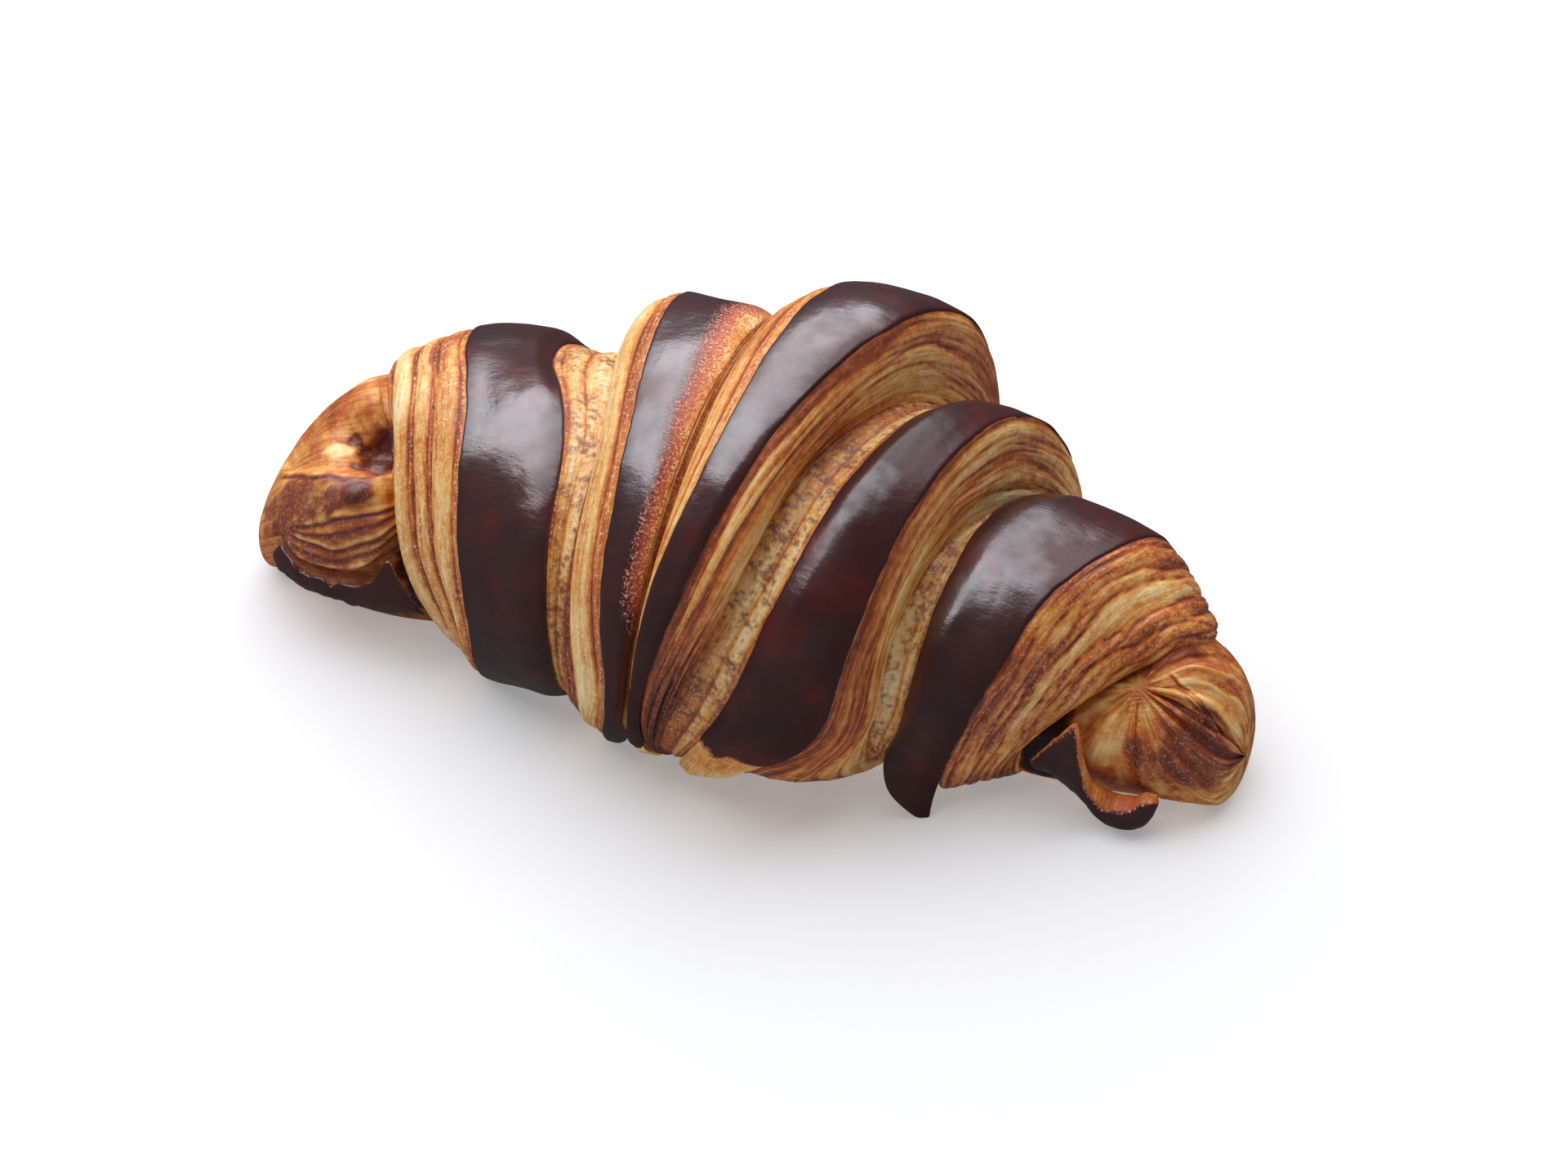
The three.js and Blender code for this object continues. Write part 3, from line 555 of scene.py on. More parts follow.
# Seams where one layer of a nose ends on the next: angle by place, depth of the line, how dark it is,
# how pale the crest above it is and how much cocoa tint it has
SEAMS = (
    (((-67.5, 142), (-62, 134), (-57, 131), (-53.5, 129)), 0.25, 0.4, 0.05, 0.7),
    (((-62.5, 109), (-57, 109.5), (-50, 113), (-44, 118)), 0.25, 0.3, 0.14, 0.9),
    (((-63, 107), (-58, 104), (-53, 105), (-48.5, 109), (-44.5, 115)), 0.2, 0.25, 0.05, 0.9),
    (((-63, 104), (-58, 99), (-54, 97), (-50, 100), (-46.5, 106), (-44.5, 112)), 0.3, 0.25, 0.3, 0.8),
    (((-62, 98), (-57.5, 93.5), (-53.5, 92), (-50, 95), (-46.5, 101.5), (-44.3, 109)),
     0.2, 0.2, 0.08, 0.7),
    (((-63, 92), (-58, 88), (-54, 86.5), (-50.3, 88), (-46.8, 96), (-44, 105)), 0.25, 0.2, 0.14, 0.5),
    (((-56, 82), (-51.5, 83), (-48, 90), (-44, 101)), 0.25, 0.2, 0.12, 0.1),
    (((-70, 205), (-62, 214), (-54, 226), (-48, 240)), 0.35, 0.22, 0.16, 0.2),
    (((-68, 228), (-60, 236), (-52, 246)), 0.3, 0.2, 0.14, 0.2),
    (((-69, 250), (-61, 256), (-52, 262)), 0.3, 0.22, 0.12, 0.2),
    (((-66, 182), (-60, 187), (-55, 196)), 0.25, 0.2, 0.14, 0.2),
    (((64.5, 152), (69, 149.5), (74, 143)), 0.35, 0.4, 0.1, 0.6),
    (((66, 148.5), (70, 146), (74, 139)), 0.35, 0.4, 0.14, 0.5),
    (((67.5, 145), (71, 142), (74, 135.5)), 0.35, 0.35, 0.14, 0.4),
)
SEAM_STRAY = (1 / 3, 14, 32, 1.2)
SEAM_ENDS = (-0.6, 1.4)
SEAM_DARK = dict(below=0.9, half=1.1)
SEAM_PALE = dict(above=1.4, half=1.5, stain=0.4, height=0.5)

# Stripes of the right nose: the width in degrees, size and seed of their waves
STRIPES = dict(waves=((12.0, 1.0, 34), (5.5, 0.9, 35), (2.6, 0.6, 36)), clear=0.3, height=0.22, tone=0.15)
STRIPE_STRAY = (1 / 5, 20, 36, 4)

# How the noses' relief rises from their feet, and how the grain of each nose is stretched
NOSE_RISE = (0, 1.2)
NOSE_GRAIN = 0.32
FAN_GRAIN = 0.12
GRAIN_LENGTH = 0.5


def dough_angles():
    low, high = FINE_ANGLES
    fine = np.arange(low, high, FINE_TURN)
    below = np.linspace(high, low + 360, BASE_COLUMNS, endpoint=False)
    return np.concatenate([fine, below])


def sampled_line(profile, first, last):
    """Places, radii and distances from the first station, close together along the surface."""
    start, end = profile.number(first), profile.number(last)
    place, radius = profile.at(np.linspace(start, end, (end - start) * SAMPLES_PER_STATION + 1))
    length = np.zeros_like(place)
    length[1:] = np.cumsum(np.hypot(np.diff(place, axis=0), np.diff(radius, axis=0)), axis=0)
    return place, radius, length


def rows_at(line, wanted):
    """Places and radii at wanted distances along a sampled line, for each angle."""
    place, radius, length = line
    rows = np.empty((2, *wanted.shape))
    for column in range(wanted.shape[1]):
        for row, values in zip(rows, (place, radius)):
            row[:, column] = np.interp(wanted[:, column], length[:, column], values[:, column])
    return rows


def grain_vector(across, along):
    """The grain's own coordinates in metres: across and along the layers."""
    return np.stack(np.broadcast_arrays(across, along, 0.0), -1) * METRES


def layered_relief(number, share, across, width, typical, along):
    """Height, tone and the other surface values of one stretch of dough, strand by strand."""
    def change(kind, place, make=noise):
        return layer_noise(kind, place, along, number, make)

    stretch = STRETCHES[number]
    sizes, heights, tones = np.array(stretch["strands"], float).T
    sizes = sizes / sizes.sum()
    ends = np.cumsum(sizes)
    stray = change(STRAY, share) + change(FINE_STRAY, share)
    warped = np.clip(share + stretch["wander"] * stray * 4 * share * (1 - share), 0, 1)
    strand = np.minimum(np.searchsorted(ends, warped, side="right"), len(sizes) - 1)
    valley = np.abs(2 * (warped - ends[strand] + sizes[strand]) / sizes[strand] - 1)
    drawn = share * typical + change(DRAWN, share * typical)
    fine, broad = change(FINE, drawn), change(BROAD, drawn)
    depth = drawn / LAYER_STEP + change(LAYER_STRAY, drawn)
    layer = np.floor(depth)
    line = hill(depth - layer, LINE["middle"], LINE["half"])
    line = line * soft_step(*SEEN_RANGE, change(LAYER_SEEN, layer))
    height = heights[strand] * (MEAN_SIZE + change(STRAND_SIZE, strand)) * (0.5 - valley ** STRAND_POWER)
    height = height + stretch["fibre"] * (fine + BROAD_HEIGHT * broad) - stretch["lamina"] * line
    tone = tones[strand] + change(STRAND_TONE, strand) + change(CLOUD, across, rough_noise)
    dark = sum(amount * valley ** power for amount, power in VALLEY_TONES)
    tone = tone + stretch["valley"] * dark - FINE_TONE * fine - BROAD_TONE * broad
    tone = tone + stretch["lamina"] * (LINE["tone"] * line - change(LAYER_TONE, layer))
    values = dict(
        tone=np.minimum(tone, DARKEST), stain=stretch["stain"] + 0 * tone,
        speck=stretch["speck"] + 0 * tone, painted_glint=stretch["painted_glint"] * (1 - valley ** 2),
    )
    return height * inside(SIDE_RISE, across, width), values


def nose_marks_and_painted_shade(place, angle, is_left):
    """Tone, stain and height that the marks, some of them painted shade, and the seams add to a nose, and
    the right one's stripes.
    """
    added = np.zeros((3, *place.shape))
    ragged = layer_noise(MARK_RAGGED, place, angle, make=rough_noise)
    for middle, half, *amounts in MARKS_AND_PAINTED_SHADE:
        near = np.hypot((place - middle[0]) / half[0], (angle - middle[1]) / half[1])
        added += np.multiply.outer(amounts, soft_step(*MARK_FADE, near + ragged))
    stray = layer_noise(SEAM_STRAY, place, angle)
    for seam, depth, dark, pale, stain in SEAMS:
        within = inside(SEAM_ENDS, place - seam[0][0], seam[-1][0] - seam[0][0])
        above = angle + stray - smooth_through(seam, place)
        line = within * hill(above, -SEAM_DARK["below"], SEAM_DARK["half"])
        crest = within * hill(above, SEAM_PALE["above"], SEAM_PALE["half"])
        added[0] += dark * line - pale * crest
        added[1] += stain * line - SEAM_PALE["stain"] * crest
        added[2] += depth * (SEAM_PALE["height"] * crest - line)
    if not is_left:
        direction, distance = fan_place(place, angle)
        direction = direction + layer_noise(STRIPE_STRAY, place, angle)
        reach = soft_step(STRIPES["clear"], FAN["clear"], distance) * soft_window(FAN_ANGLES, angle)
        waves = (size * noise(direction / wave, 0, 0, seed) for wave, size, seed in STRIPES["waves"])
        stripe = reach * sum(waves)
        added[0] -= STRIPES["tone"] * stripe
        added[2] += STRIPES["height"] * stripe
    return added


def stretch_relief(number, share, across, width, typical, place, angles):
    """Height and surface values of one stretch of dough, hidden or not."""
    stretch = STRETCHES[number]
    if "strands" not in stretch:
        height = -RECESS_DEPTH * inside(RECESS_WALL, across, width)
        return height, {name: HIDDEN_VALUE + 0 * height for name in SURFACE_VALUES}
    along = (np.radians(angles) * MEAN_RADIUS)[None, :]
    height, values = layered_relief(number, share, across, width, typical, along)
    # Painted shade low on the roll and painted light high on it
    for side, turn in (("below", PAINTED_SHADE_ANGLES), ("above", PAINTED_LIGHT_ANGLES)):
        values["tone"] += stretch.get(side, 0) * soft_step(*turn, angles)
    # Painted shadow near a foot, low on the roll
    if "shade" in stretch:
        tone, reach, turn = stretch["shade"]
        values["tone"] += tone * (soft_step(*reach, across) * soft_step(*turn, angles))
    if number in (0, len(STRETCHES) - 1):
        tone, stain, more = nose_marks_and_painted_shade(place, angles + 0 * place, number == 0)
        height = height + more * inside(NOSE_RISE, across, width)
        values["tone"] += tone
        values["stain"] = np.clip(values["stain"] + stain, 0, 1)
    return height, values


def dough_rows():
    """The whole dough as one grid of points and surface values, and the rows where it is parted."""
    angles = dough_angles()
    profile = Profile(angles)
    seen = (angles > SEEN_ANGLES[0]) & (angles < SEEN_ANGLES[1])
    grids, parting = [], []
    first, gone, drawn_start = "pole_left", 0, 0.0
    for number, stretch in enumerate(STRETCHES):
        line = sampled_line(profile, first, stretch["last"])
        width = line[2][-1:]
        typical = float(width[0, seen].mean())
        hidden = "strands" not in stretch
        count = HIDDEN_ROWS if hidden else max(LEAST_ROWS, round(typical / ROW_STEP))
        share = np.linspace(0, 1, count + 1)[:, None]
        if hidden:
            share = 0.5 - 0.5 * np.cos(math.pi * share)
            parting.append(gone + count // 2)
        across = share * width
        place, radius = rows_at(line, across)
        height, values = stretch_relief(number, share, across, width, typical, place, angles)
        drawn, run = drawn_start + share * typical, np.radians(angles) * MEAN_RADIUS
        if number == 0:
            drawn, run = run * NOSE_GRAIN, place * GRAIN_LENGTH
        elif number == len(STRETCHES) - 1:
            direction, distance = fan_place(place, angles)
            drawn, run = direction * FAN_GRAIN, distance * GRAIN_LENGTH
        grain = grain_vector(drawn, run)
        grids.append(dict(values, place=place, radius=radius, height=height, grain=grain))
        first, gone, drawn_start = stretch["last"], gone + count, drawn_start + typical
    cuts = [slice(0, -1)] * (len(grids) - 1) + [slice(0, None)]
    data = {key: np.concatenate([grid[key][cut] for grid, cut in zip(grids, cuts)]) for key in grids[0]}
    points = roll_points(data.pop("place"), data.pop("radius"), angles)
    height = data.pop("height") * soft_window(RELIEF_ANGLES, angles)
    points = points + surface_normals(points) * height[..., None]
    points[..., 2] = np.maximum(points[..., 2], 0)
    return dict(data, points=points), parting


def in_scene(name, data):
    made = bpy.data.objects.new(name, data)
    bpy.context.scene.collection.objects.link(made)
    return made


def make_mesh(name, data, material, quads, triangles, quad_map, triangle_map):
    """A mesh object from points in millimetres, with its faces, bake map, grain and surface values."""
    mesh = bpy.data.meshes.new(name)
    points = (data.pop("points") + np.array(CENTRE_SHIFT)) * METRES
    mesh.vertices.add(len(points))
    mesh.vertices.foreach_set("co", points.astype(np.float32).ravel())
    corners = np.concatenate([quads.ravel(), triangles.ravel()])
    sizes = np.concatenate([np.full(len(quads), 4), np.full(len(triangles), 3)])
    starts = np.concatenate([[0], np.cumsum(sizes)[:-1]])
    mesh.loops.add(len(corners))
    mesh.loops.foreach_set("vertex_index", corners.astype(np.int32))
    mesh.polygons.add(len(sizes))
    mesh.polygons.foreach_set("loop_start", starts.astype(np.int32))
    mesh.polygons.foreach_set("loop_total", sizes.astype(np.int32))
    mesh.polygons.foreach_set("use_smooth", np.ones(len(sizes), bool))
    mesh.update(calc_edges=True)
    places = np.concatenate([quad_map.reshape(-1, 2), triangle_map.reshape(-1, 2)])
    mesh.uv_layers.new(name="OFBake").data.foreach_set("uv", places.astype(np.float32).ravel())
    for key, value in data.items():
        kind, field = ("FLOAT_VECTOR", "vector") if value.ndim == 2 else ("FLOAT", "value")
        attribute = mesh.attributes.new(key, kind, "POINT")
        attribute.data.foreach_set(field, value.astype(np.float32).ravel())
    mesh.validate()
    mesh.materials.append(material)
    return in_scene(name, mesh)


# The bake map leaves its top strip free for the caps on the two ends. Each cap has its order of here,
# next and middle, so that it faces outward, and its place on the map. The corners of a quad are steps
# down the rows and across the columns.
MAP_TOP = 0.94
CAP_RADIUS = 0.025
CAPS = (([0, 1, 2], (0.1, 0.97)), ([0, 2, 1], (0.3, 0.97)))
QUAD_CORNERS = ((0, 0), (1, 0), (1, 1), (0, 1))


def wrapped_grid(name, data, material):
    """A closed piece from a grid of points and values that wraps round in its columns."""
    rows, columns = data["points"].shape[:2]
    row = np.arange(rows - 1)[:, None]
    column = np.arange(columns)[None, :]
    quads, quad_map = [], []
    for down, step in QUAD_CORNERS:
        quads.append((row + down) * columns + (column + step) % columns)
        spot = (column + step) / columns, (row + down) / (rows - 1) * MAP_TOP
        quad_map.append(np.stack(np.broadcast_arrays(*spot), -1))
    turn = 2 * math.pi * np.arange(columns) / columns
    ring = np.stack([np.cos(turn), np.sin(turn)], -1) * CAP_RADIUS
    spots = np.stack([ring, np.roll(ring, -1, 0), 0 * ring], 1)
    triangles, triangle_map = [], []
    for number, (order, middle) in enumerate(CAPS):
        start = rows * columns + number * (columns + 1)
        here = start + np.arange(columns)
        corners = np.stack([here, np.roll(here, -1), np.full(columns, start + columns)], -1)
        triangles.append(corners[:, order])
        triangle_map.append(spots[:, order] + np.array(middle))
    flat = {}
    for key, value in data.items():
        caps = [part for end in (value[0], value[-1]) for part in (end, end.mean(0, keepdims=True))]
        flat[key] = np.concatenate([value.reshape(-1, *value.shape[2:]), *caps])
    return make_mesh(
        name, flat, material, np.stack(quads, -1).reshape(-1, 4), np.concatenate(triangles),
        np.stack(quad_map, 2), np.concatenate(triangle_map),
    )


def build_dough(material):
    """The dough in five parts, which meet under the bands."""
    data, parting = dough_rows()
    cuts = [0, parting[0], *parting[2:], len(data["points"]) - 1]
    for number, (start, end) in enumerate(zip(cuts[:-1], cuts[1:]), 1):
        part = {key: value[start:end + 1] for key, value in data.items()}
        piece = wrapped_grid(f"dough_{number}", part, material)
        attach(piece, "root")
        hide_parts("pastry_body")


# The cocoa skin: how finely it is divided, how it stands proud and how its rims are rounded
SKIN_ANGLES = (38.0, 322.0)
SKIN_TURN = 0.9
SKIN_STEP = 0.42
LEAST_SKIN_ROWS = 14
INNER_POINTS = 6
SKIN_THICKNESS = 1.3
SKIN_PROUD = dict(mean=0.35, fade=0.8, wave=0.16, streak=0.012)
RIM = dict(points=5, radius=0.5, most=0.2, jag=0.6, fade=0.7, drop=0.8)
FLARE_ANGLES = (64, 48)

# Each band's gloss with its change and its loss on top, where its front end lies, how it flares and
# tapers there, and where it fades to bare dough, by angle at its foot or by share of its width. All
# bands lose gloss at their sides, the left and the right one each by an amount over a reach.
SKINS = {
    "1": dict(gloss=(0.95, 0.2, 0.3)),
    "2": dict(gloss=(0.85, 0.25, 0), shares=(0.4, 0.98), angles=dict(full=(122, 200), none=(88, 260))),
    "3": dict(gloss=(0.95, 0.2, 0.3), foot=(58, 55)),
    "4": dict(gloss=(0.36, 0.5, 0.5), foot=(67, 63), front=45.0, flare=0.6),
    "5": dict(gloss=(0.8, 0.3, 0.5), front=48.5, flare=4.6, taper=0.8),
}
FOOT_FADE = 1.2
TOP_ANGLES = (146, 166)
DULL_SIDES = ((0.5, 1.4), (0.7, 2.6))
SKIN_TONE = dict(mean=0.3, cloud=0.15)
SKIN_RED = dict(mean=0.5, cloud=0.9, rim=0.5, reach=1.2)

# Noises of the skin, as in the dough, and the size and seed of each one in space
SKIN_SEED = 40
JAGS = (((0, 4, 1, 0.22), (0, 1.1, 3, 0.1)), ((0, 4, 2, 0.22), (0, 1.1, 4, 0.1)))
STREAKS = ((1 / 1.3, 11, 5, 1), (1 / 0.7, 6, 6, 0.6))
FADE_RAGGED = (0, 5, 7, 0.05)
FOOT_RAGGED = ((2.2, 9, 1.6), (0.8, 10, 0.8))
SKIN_WAVE, SKIN_CLOUD, SKIN_PATCH = (9, 0), (7, 3), (7, 8)


def skin_fade(skin, seed, share, across, along, angles):
    """How far the skin has given way to bare dough, which is whole from 1 on."""
    fade = np.zeros_like(share)
    if "shares" in skin:
        fade = soft_step(*skin["shares"], share + layer_noise(FADE_RAGGED, 0, along, seed))
        fade = fade * soft_window(skin["angles"], angles)
    if "foot" in skin:
        ragged = sum(
            amount * noise(across / size, 0, 0, seed + number) for size, number, amount in FOOT_RAGGED
        )
        fade = np.maximum(fade, FOOT_FADE * soft_step(*skin["foot"], angles + ragged))
    return fade


def skin_rim(row, beside, body, outer, normal, rim, fade):
    """The rounded rim beyond one row of the skin, from its outer face down its side."""
    tangent = unit(np.cross(np.gradient(body[row], axis=0), normal[row]))
    tangent = tangent * np.sign((tangent * (body[row] - body[beside])).sum(-1, keepdims=True))
    spread = (1 - RIM["fade"] * fade[row])[:, None]
    steps = []
    for turn in np.linspace(0, math.pi / 2, RIM["points"])[1:]:
        out, down = (rim * math.sin(turn))[:, None], (rim * (1 - math.cos(turn)))[:, None]
        steps.append(outer[row] + tangent * out * spread - normal[row] * down)
    steps.append(steps[-1] - normal[row] * (SKIN_THICKNESS - RIM["radius"]) * RIM["drop"])
    return np.array(steps)


def build_skin(strip, material):
    name = strip["name"]
    skin, seed = SKINS[name], SKIN_SEED + int(name)
    angles = np.arange(skin.get("front", SKIN_ANGLES[0]), SKIN_ANGLES[1] + SKIN_TURN, SKIN_TURN)
    along = np.radians(angles) * MEAN_RADIUS
    low = soft_step(*FLARE_ANGLES, angles)
    line = sampled_line(Profile(angles), f"left_{name}", f"right_{name}")
    width = line[2][-1]
    count = max(LEAST_SKIN_ROWS, round(float(width.max()) / SKIN_STEP))
    rim = np.minimum(RIM["radius"], RIM["most"] * width)
    jag = [RIM["jag"] * sum(layer_noise(kind, 0, along, seed) for kind in kinds) for kinds in JAGS]
    start = jag[0] + skin.get("taper", 0) * low ** 2 * width + rim
    end = width + jag[1] - rim
    across = start + np.linspace(0, 1, count)[:, None] * (end - start)
    place, radius = rows_at(line, across)
    flat = roll_points(place, radius, angles)
    body = roll_points(place, radius + skin.get("flare", 0) * low, angles)
    normal = surface_normals(flat)
    fade = skin_fade(skin, seed, across / width, across, along, angles)
    lift = SKIN_PROUD["mean"] * (1 - SKIN_PROUD["fade"] * fade)
    lift = lift + SKIN_PROUD["wave"] * point_noise(flat, SKIN_WAVE, seed)
    lift = lift + SKIN_PROUD["streak"] * sum(layer_noise(kind, across, along, seed) for kind in STREAKS)
    outer = body + normal * lift[..., None]
    inner_rows = np.round(np.linspace(count - 1, 0, INNER_POINTS)).astype(int)
    inner = (body - normal * (SKIN_THICKNESS - SKIN_PROUD["mean"]))[inner_rows]
    right, left = (skin_rim(*ends, body, outer, normal, rim, fade) for ends in ((-1, -2), (0, 1)))
    loop = np.concatenate([outer, right, inner, left[::-1]])
    loop[..., 2] = np.maximum(loop[..., 2], 0)
    cloud = point_noise(body, SKIN_CLOUD, seed)
    gloss, change, loss = skin["gloss"]
    gloss = gloss + change * point_noise(body, SKIN_PATCH, seed) - loss * soft_step(*TOP_ANGLES, angles)
    rims = 0
    for distance, (loss, reach) in zip((across, width - across), DULL_SIDES):
        gloss = gloss - loss * hill(distance, 0, reach)
        rims = rims + hill(distance, 0, SKIN_RED["reach"])
    data = dict(
        tone=SKIN_TONE["mean"] + SKIN_TONE["cloud"] * cloud, fade=fade,
        red=np.clip(SKIN_RED["mean"] + SKIN_RED["cloud"] * cloud - SKIN_RED["rim"] * rims, 0, 1),
        gloss=gloss, grain=grain_vector(across, along),
    )
    rows = [np.arange(count), np.full(RIM["points"], -1), inner_rows, np.full(RIM["points"], 0)]
    data = {key: value[np.concatenate(rows)] for key, value in data.items()}
    data = {key: value.swapaxes(0, 1)[::-1] for key, value in dict(data, points=loop).items()}
    piece = wrapped_grid(f"cocoa_skin_{name}", data, material)
    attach(piece, "root")
    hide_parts(f"cocoa_band_{name}")


# The lips: how finely they are divided, how blunt their section and ends are, and their surface values
LIP_STEP = 0.45
LIP_TURNS = 30
LEAST_REACH = 2
BLUNT = dict(outward=0.6, up=1.4, ends=12, least=0.02)
LIP_LOWEST = 0.05
LIP_TONE = 0.5
LIP_RED = 0.4
LIP_GLOSS = 0.6
LIP_GRAIN = 0.3

# Noises of the lips, as in the dough: their low and high rims, thickness, waves and tone
RAGGED_LOW, RAGGED_HIGH = (1 / 2.4, 1, 51, 2.2), (1 / 2.4, 1, 52, 2.2)
LIP_THICKNESS, LIP_WAVE, LIP_MOTTLE = (1 / 1.7, 1, 53, 0.15), (1 / 4, 12, 54, 0.3), (1 / 3, 9, 55, 0.2)


def build_lip(lip, material):
    """A torn piece of skin: dark outside, with a rim and an inner face of dough."""
    start, end = lip["low"][0][0], lip["low"][-1][0]
    place = np.linspace(start, end, round((end - start) / LIP_STEP))
    low = smooth_through(lip["low"], place) + layer_noise(RAGGED_LOW, place, 0, make=rough_noise)
    high = smooth_through(lip["high"], place) + layer_noise(RAGGED_HIGH, place, 0, make=rough_noise)
    high = np.maximum(high, low + LEAST_REACH)
    base = roll_radius(place) + smooth_through(lip["inner"], place)
    thick = smooth_through(lip["thickness"], place) + layer_noise(LIP_THICKNESS, place, 0)
    turn = np.linspace(0, 2 * math.pi, LIP_TURNS, endpoint=False)
    outward, up = np.cos(turn)[:, None], np.sin(turn)[:, None]
    outward = np.sign(outward) * np.abs(outward) ** BLUNT["outward"]
    up = np.sign(up) * np.abs(up) ** BLUNT["up"]
    along = np.abs(2 * (place - start) / (end - start) - 1)
    taper = np.sqrt(np.clip(1 - along ** BLUNT["ends"], BLUNT["least"], 1))
    angle = (low + high) / 2 + up * (high - low) / 2 * taper
    wave = layer_noise(LIP_WAVE, place, angle, make=rough_noise)
    radius = base + thick * (0.5 + outward * taper / 2) + wave
    points = roll_points(place + 0 * angle, radius, angle)
    points[..., 2] = np.maximum(points[..., 2], LIP_LOWEST)
    data = dict(
        points=points, grain=grain_vector(angle * LIP_GRAIN, place),
        tone=LIP_TONE + layer_noise(LIP_MOTTLE, place, angle),
        fade=soft_step(*lip["rim"], outward) + 0 * angle,
        red=LIP_RED + 0 * angle, gloss=LIP_GLOSS + 0 * angle,
    )
    data = {key: value.swapaxes(0, 1) for key, value in data.items()}
    piece = wrapped_grid(f"{lip['name']}_skin", data, material)
    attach(piece, "root")
    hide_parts(lip["name"])


def linear(colour):
    """A screen colour of 0 to 255 as the renderer's linear colour."""
    parts = []
    for value in colour:
        value = value / 255
        parts.append(value / 12.92 if value <= 0.04045 else ((value + 0.055) / 1.055) ** 2.4)
    return (*parts, 1.0)


# Screen colours: tones of baked dough, from pale 0 to burnt 1, of rusty skin, and single ones
BAKED = (
    (0.0, (248, 228, 184)), (0.2, (240, 200, 128)), (0.4, (224, 154, 70)), (0.58, (196, 100, 34)),
    (0.76, (148, 64, 24)), (1.0, (70, 30, 20)),
)
RUST = ((0.0, (78, 24, 22)), (1.0, (186, 92, 58)))
# The pale fleck colour is a painted highlight: glints of the glaze on the crust.
COLOURS = dict(
    stain=(124, 52, 32), burnt=(46, 24, 24), speck=(140, 70, 42), painted_glint=(255, 238, 204),
    cocoa=(61, 31, 31), red=(88, 29, 27), sand=(240, 196, 176), paper=(200, 200, 200),
    glow=(255, 255, 255),
)

# Noises of the materials: size of the bumps in millimetres, detail and roughness
# The frost noise places the pale flecks of painted glint.
TEXTURES = dict(
    fibre=((0.32, 3.6, 1.0), 3, 0.6), mottle=(1.3, 3, 0.6), cells=(0.8, 2, 0.5), clusters=(3.5, 2, 0.5),
    glint_spots=(0.4, 1, 0.5), cloud=(5, 3, 0.6), sand=(0.34, 1, 0.5), patches=(3, 4, 0.6),
    wrinkles=((1.5, 0.8, 1.0), 4, 0.65),
)

# Ranges of the materials: what goes from one value to another, over 0 to 1 unless two more are given
RANGES = dict(
    fibre_tone=(0.25, 0.75, -0.11, 0.11), mottle_tone=(0.25, 0.75, -0.08, 0.08),
    mottle_stain=(0.3, 0.6, 0.65, 0.95), burnt=(0.95, 1.25), clusters=(0.3, 0.7, -0.12, 0.12),
    spots=(0.44, 0.7), glint_spots=(0.54, 0.7), dough_roughness=(0.2, 0.8, 0.4, 0.58),
    dough_coat=(0.5, 1, 0.15, 0.5), foam=(0, 1, 0.3, 1.6), cloud=(0.28, 0.74), fading=(0, 0.25),
    ragged=(0.2, 0.8, -0.26, 0.26), rust_tone=(0.1, 0.75), rusty=(0.1, 0.35), sand=(0.54, 0.68),
    sandy=(0.15, 0.5, 0, 0.45), bare=(0.75, 1.05), cocoa_roughness=(0.1, 0.5, 0.32, 0.6),
    patches=(0.3, 0.7, -0.14, 0.14), worn=(0.05, 0.4, 1, 0.05),
)
RANGE_SOCKETS = ("From Min", "From Max", "To Min", "To Max")
SPECK_COVER = 0.9
# How far the pale flecks of painted glint cover the crests
PAINTED_GLINT_COVER = 0.55
FIBRE_RISE = 0.7
DOUGH_COAT_ROUGHNESS = 0.25
COCOA_COAT = {"Coat Roughness": 0.19, "Coat IOR": 2.05}
DOUGH_BUMP = dict(distance=0.22, strength=0.8)
SKIN_BUMP = dict(distance=0.14, strength=0.55)
COAT_BUMP = dict(distance=0.14, strength=0.4)


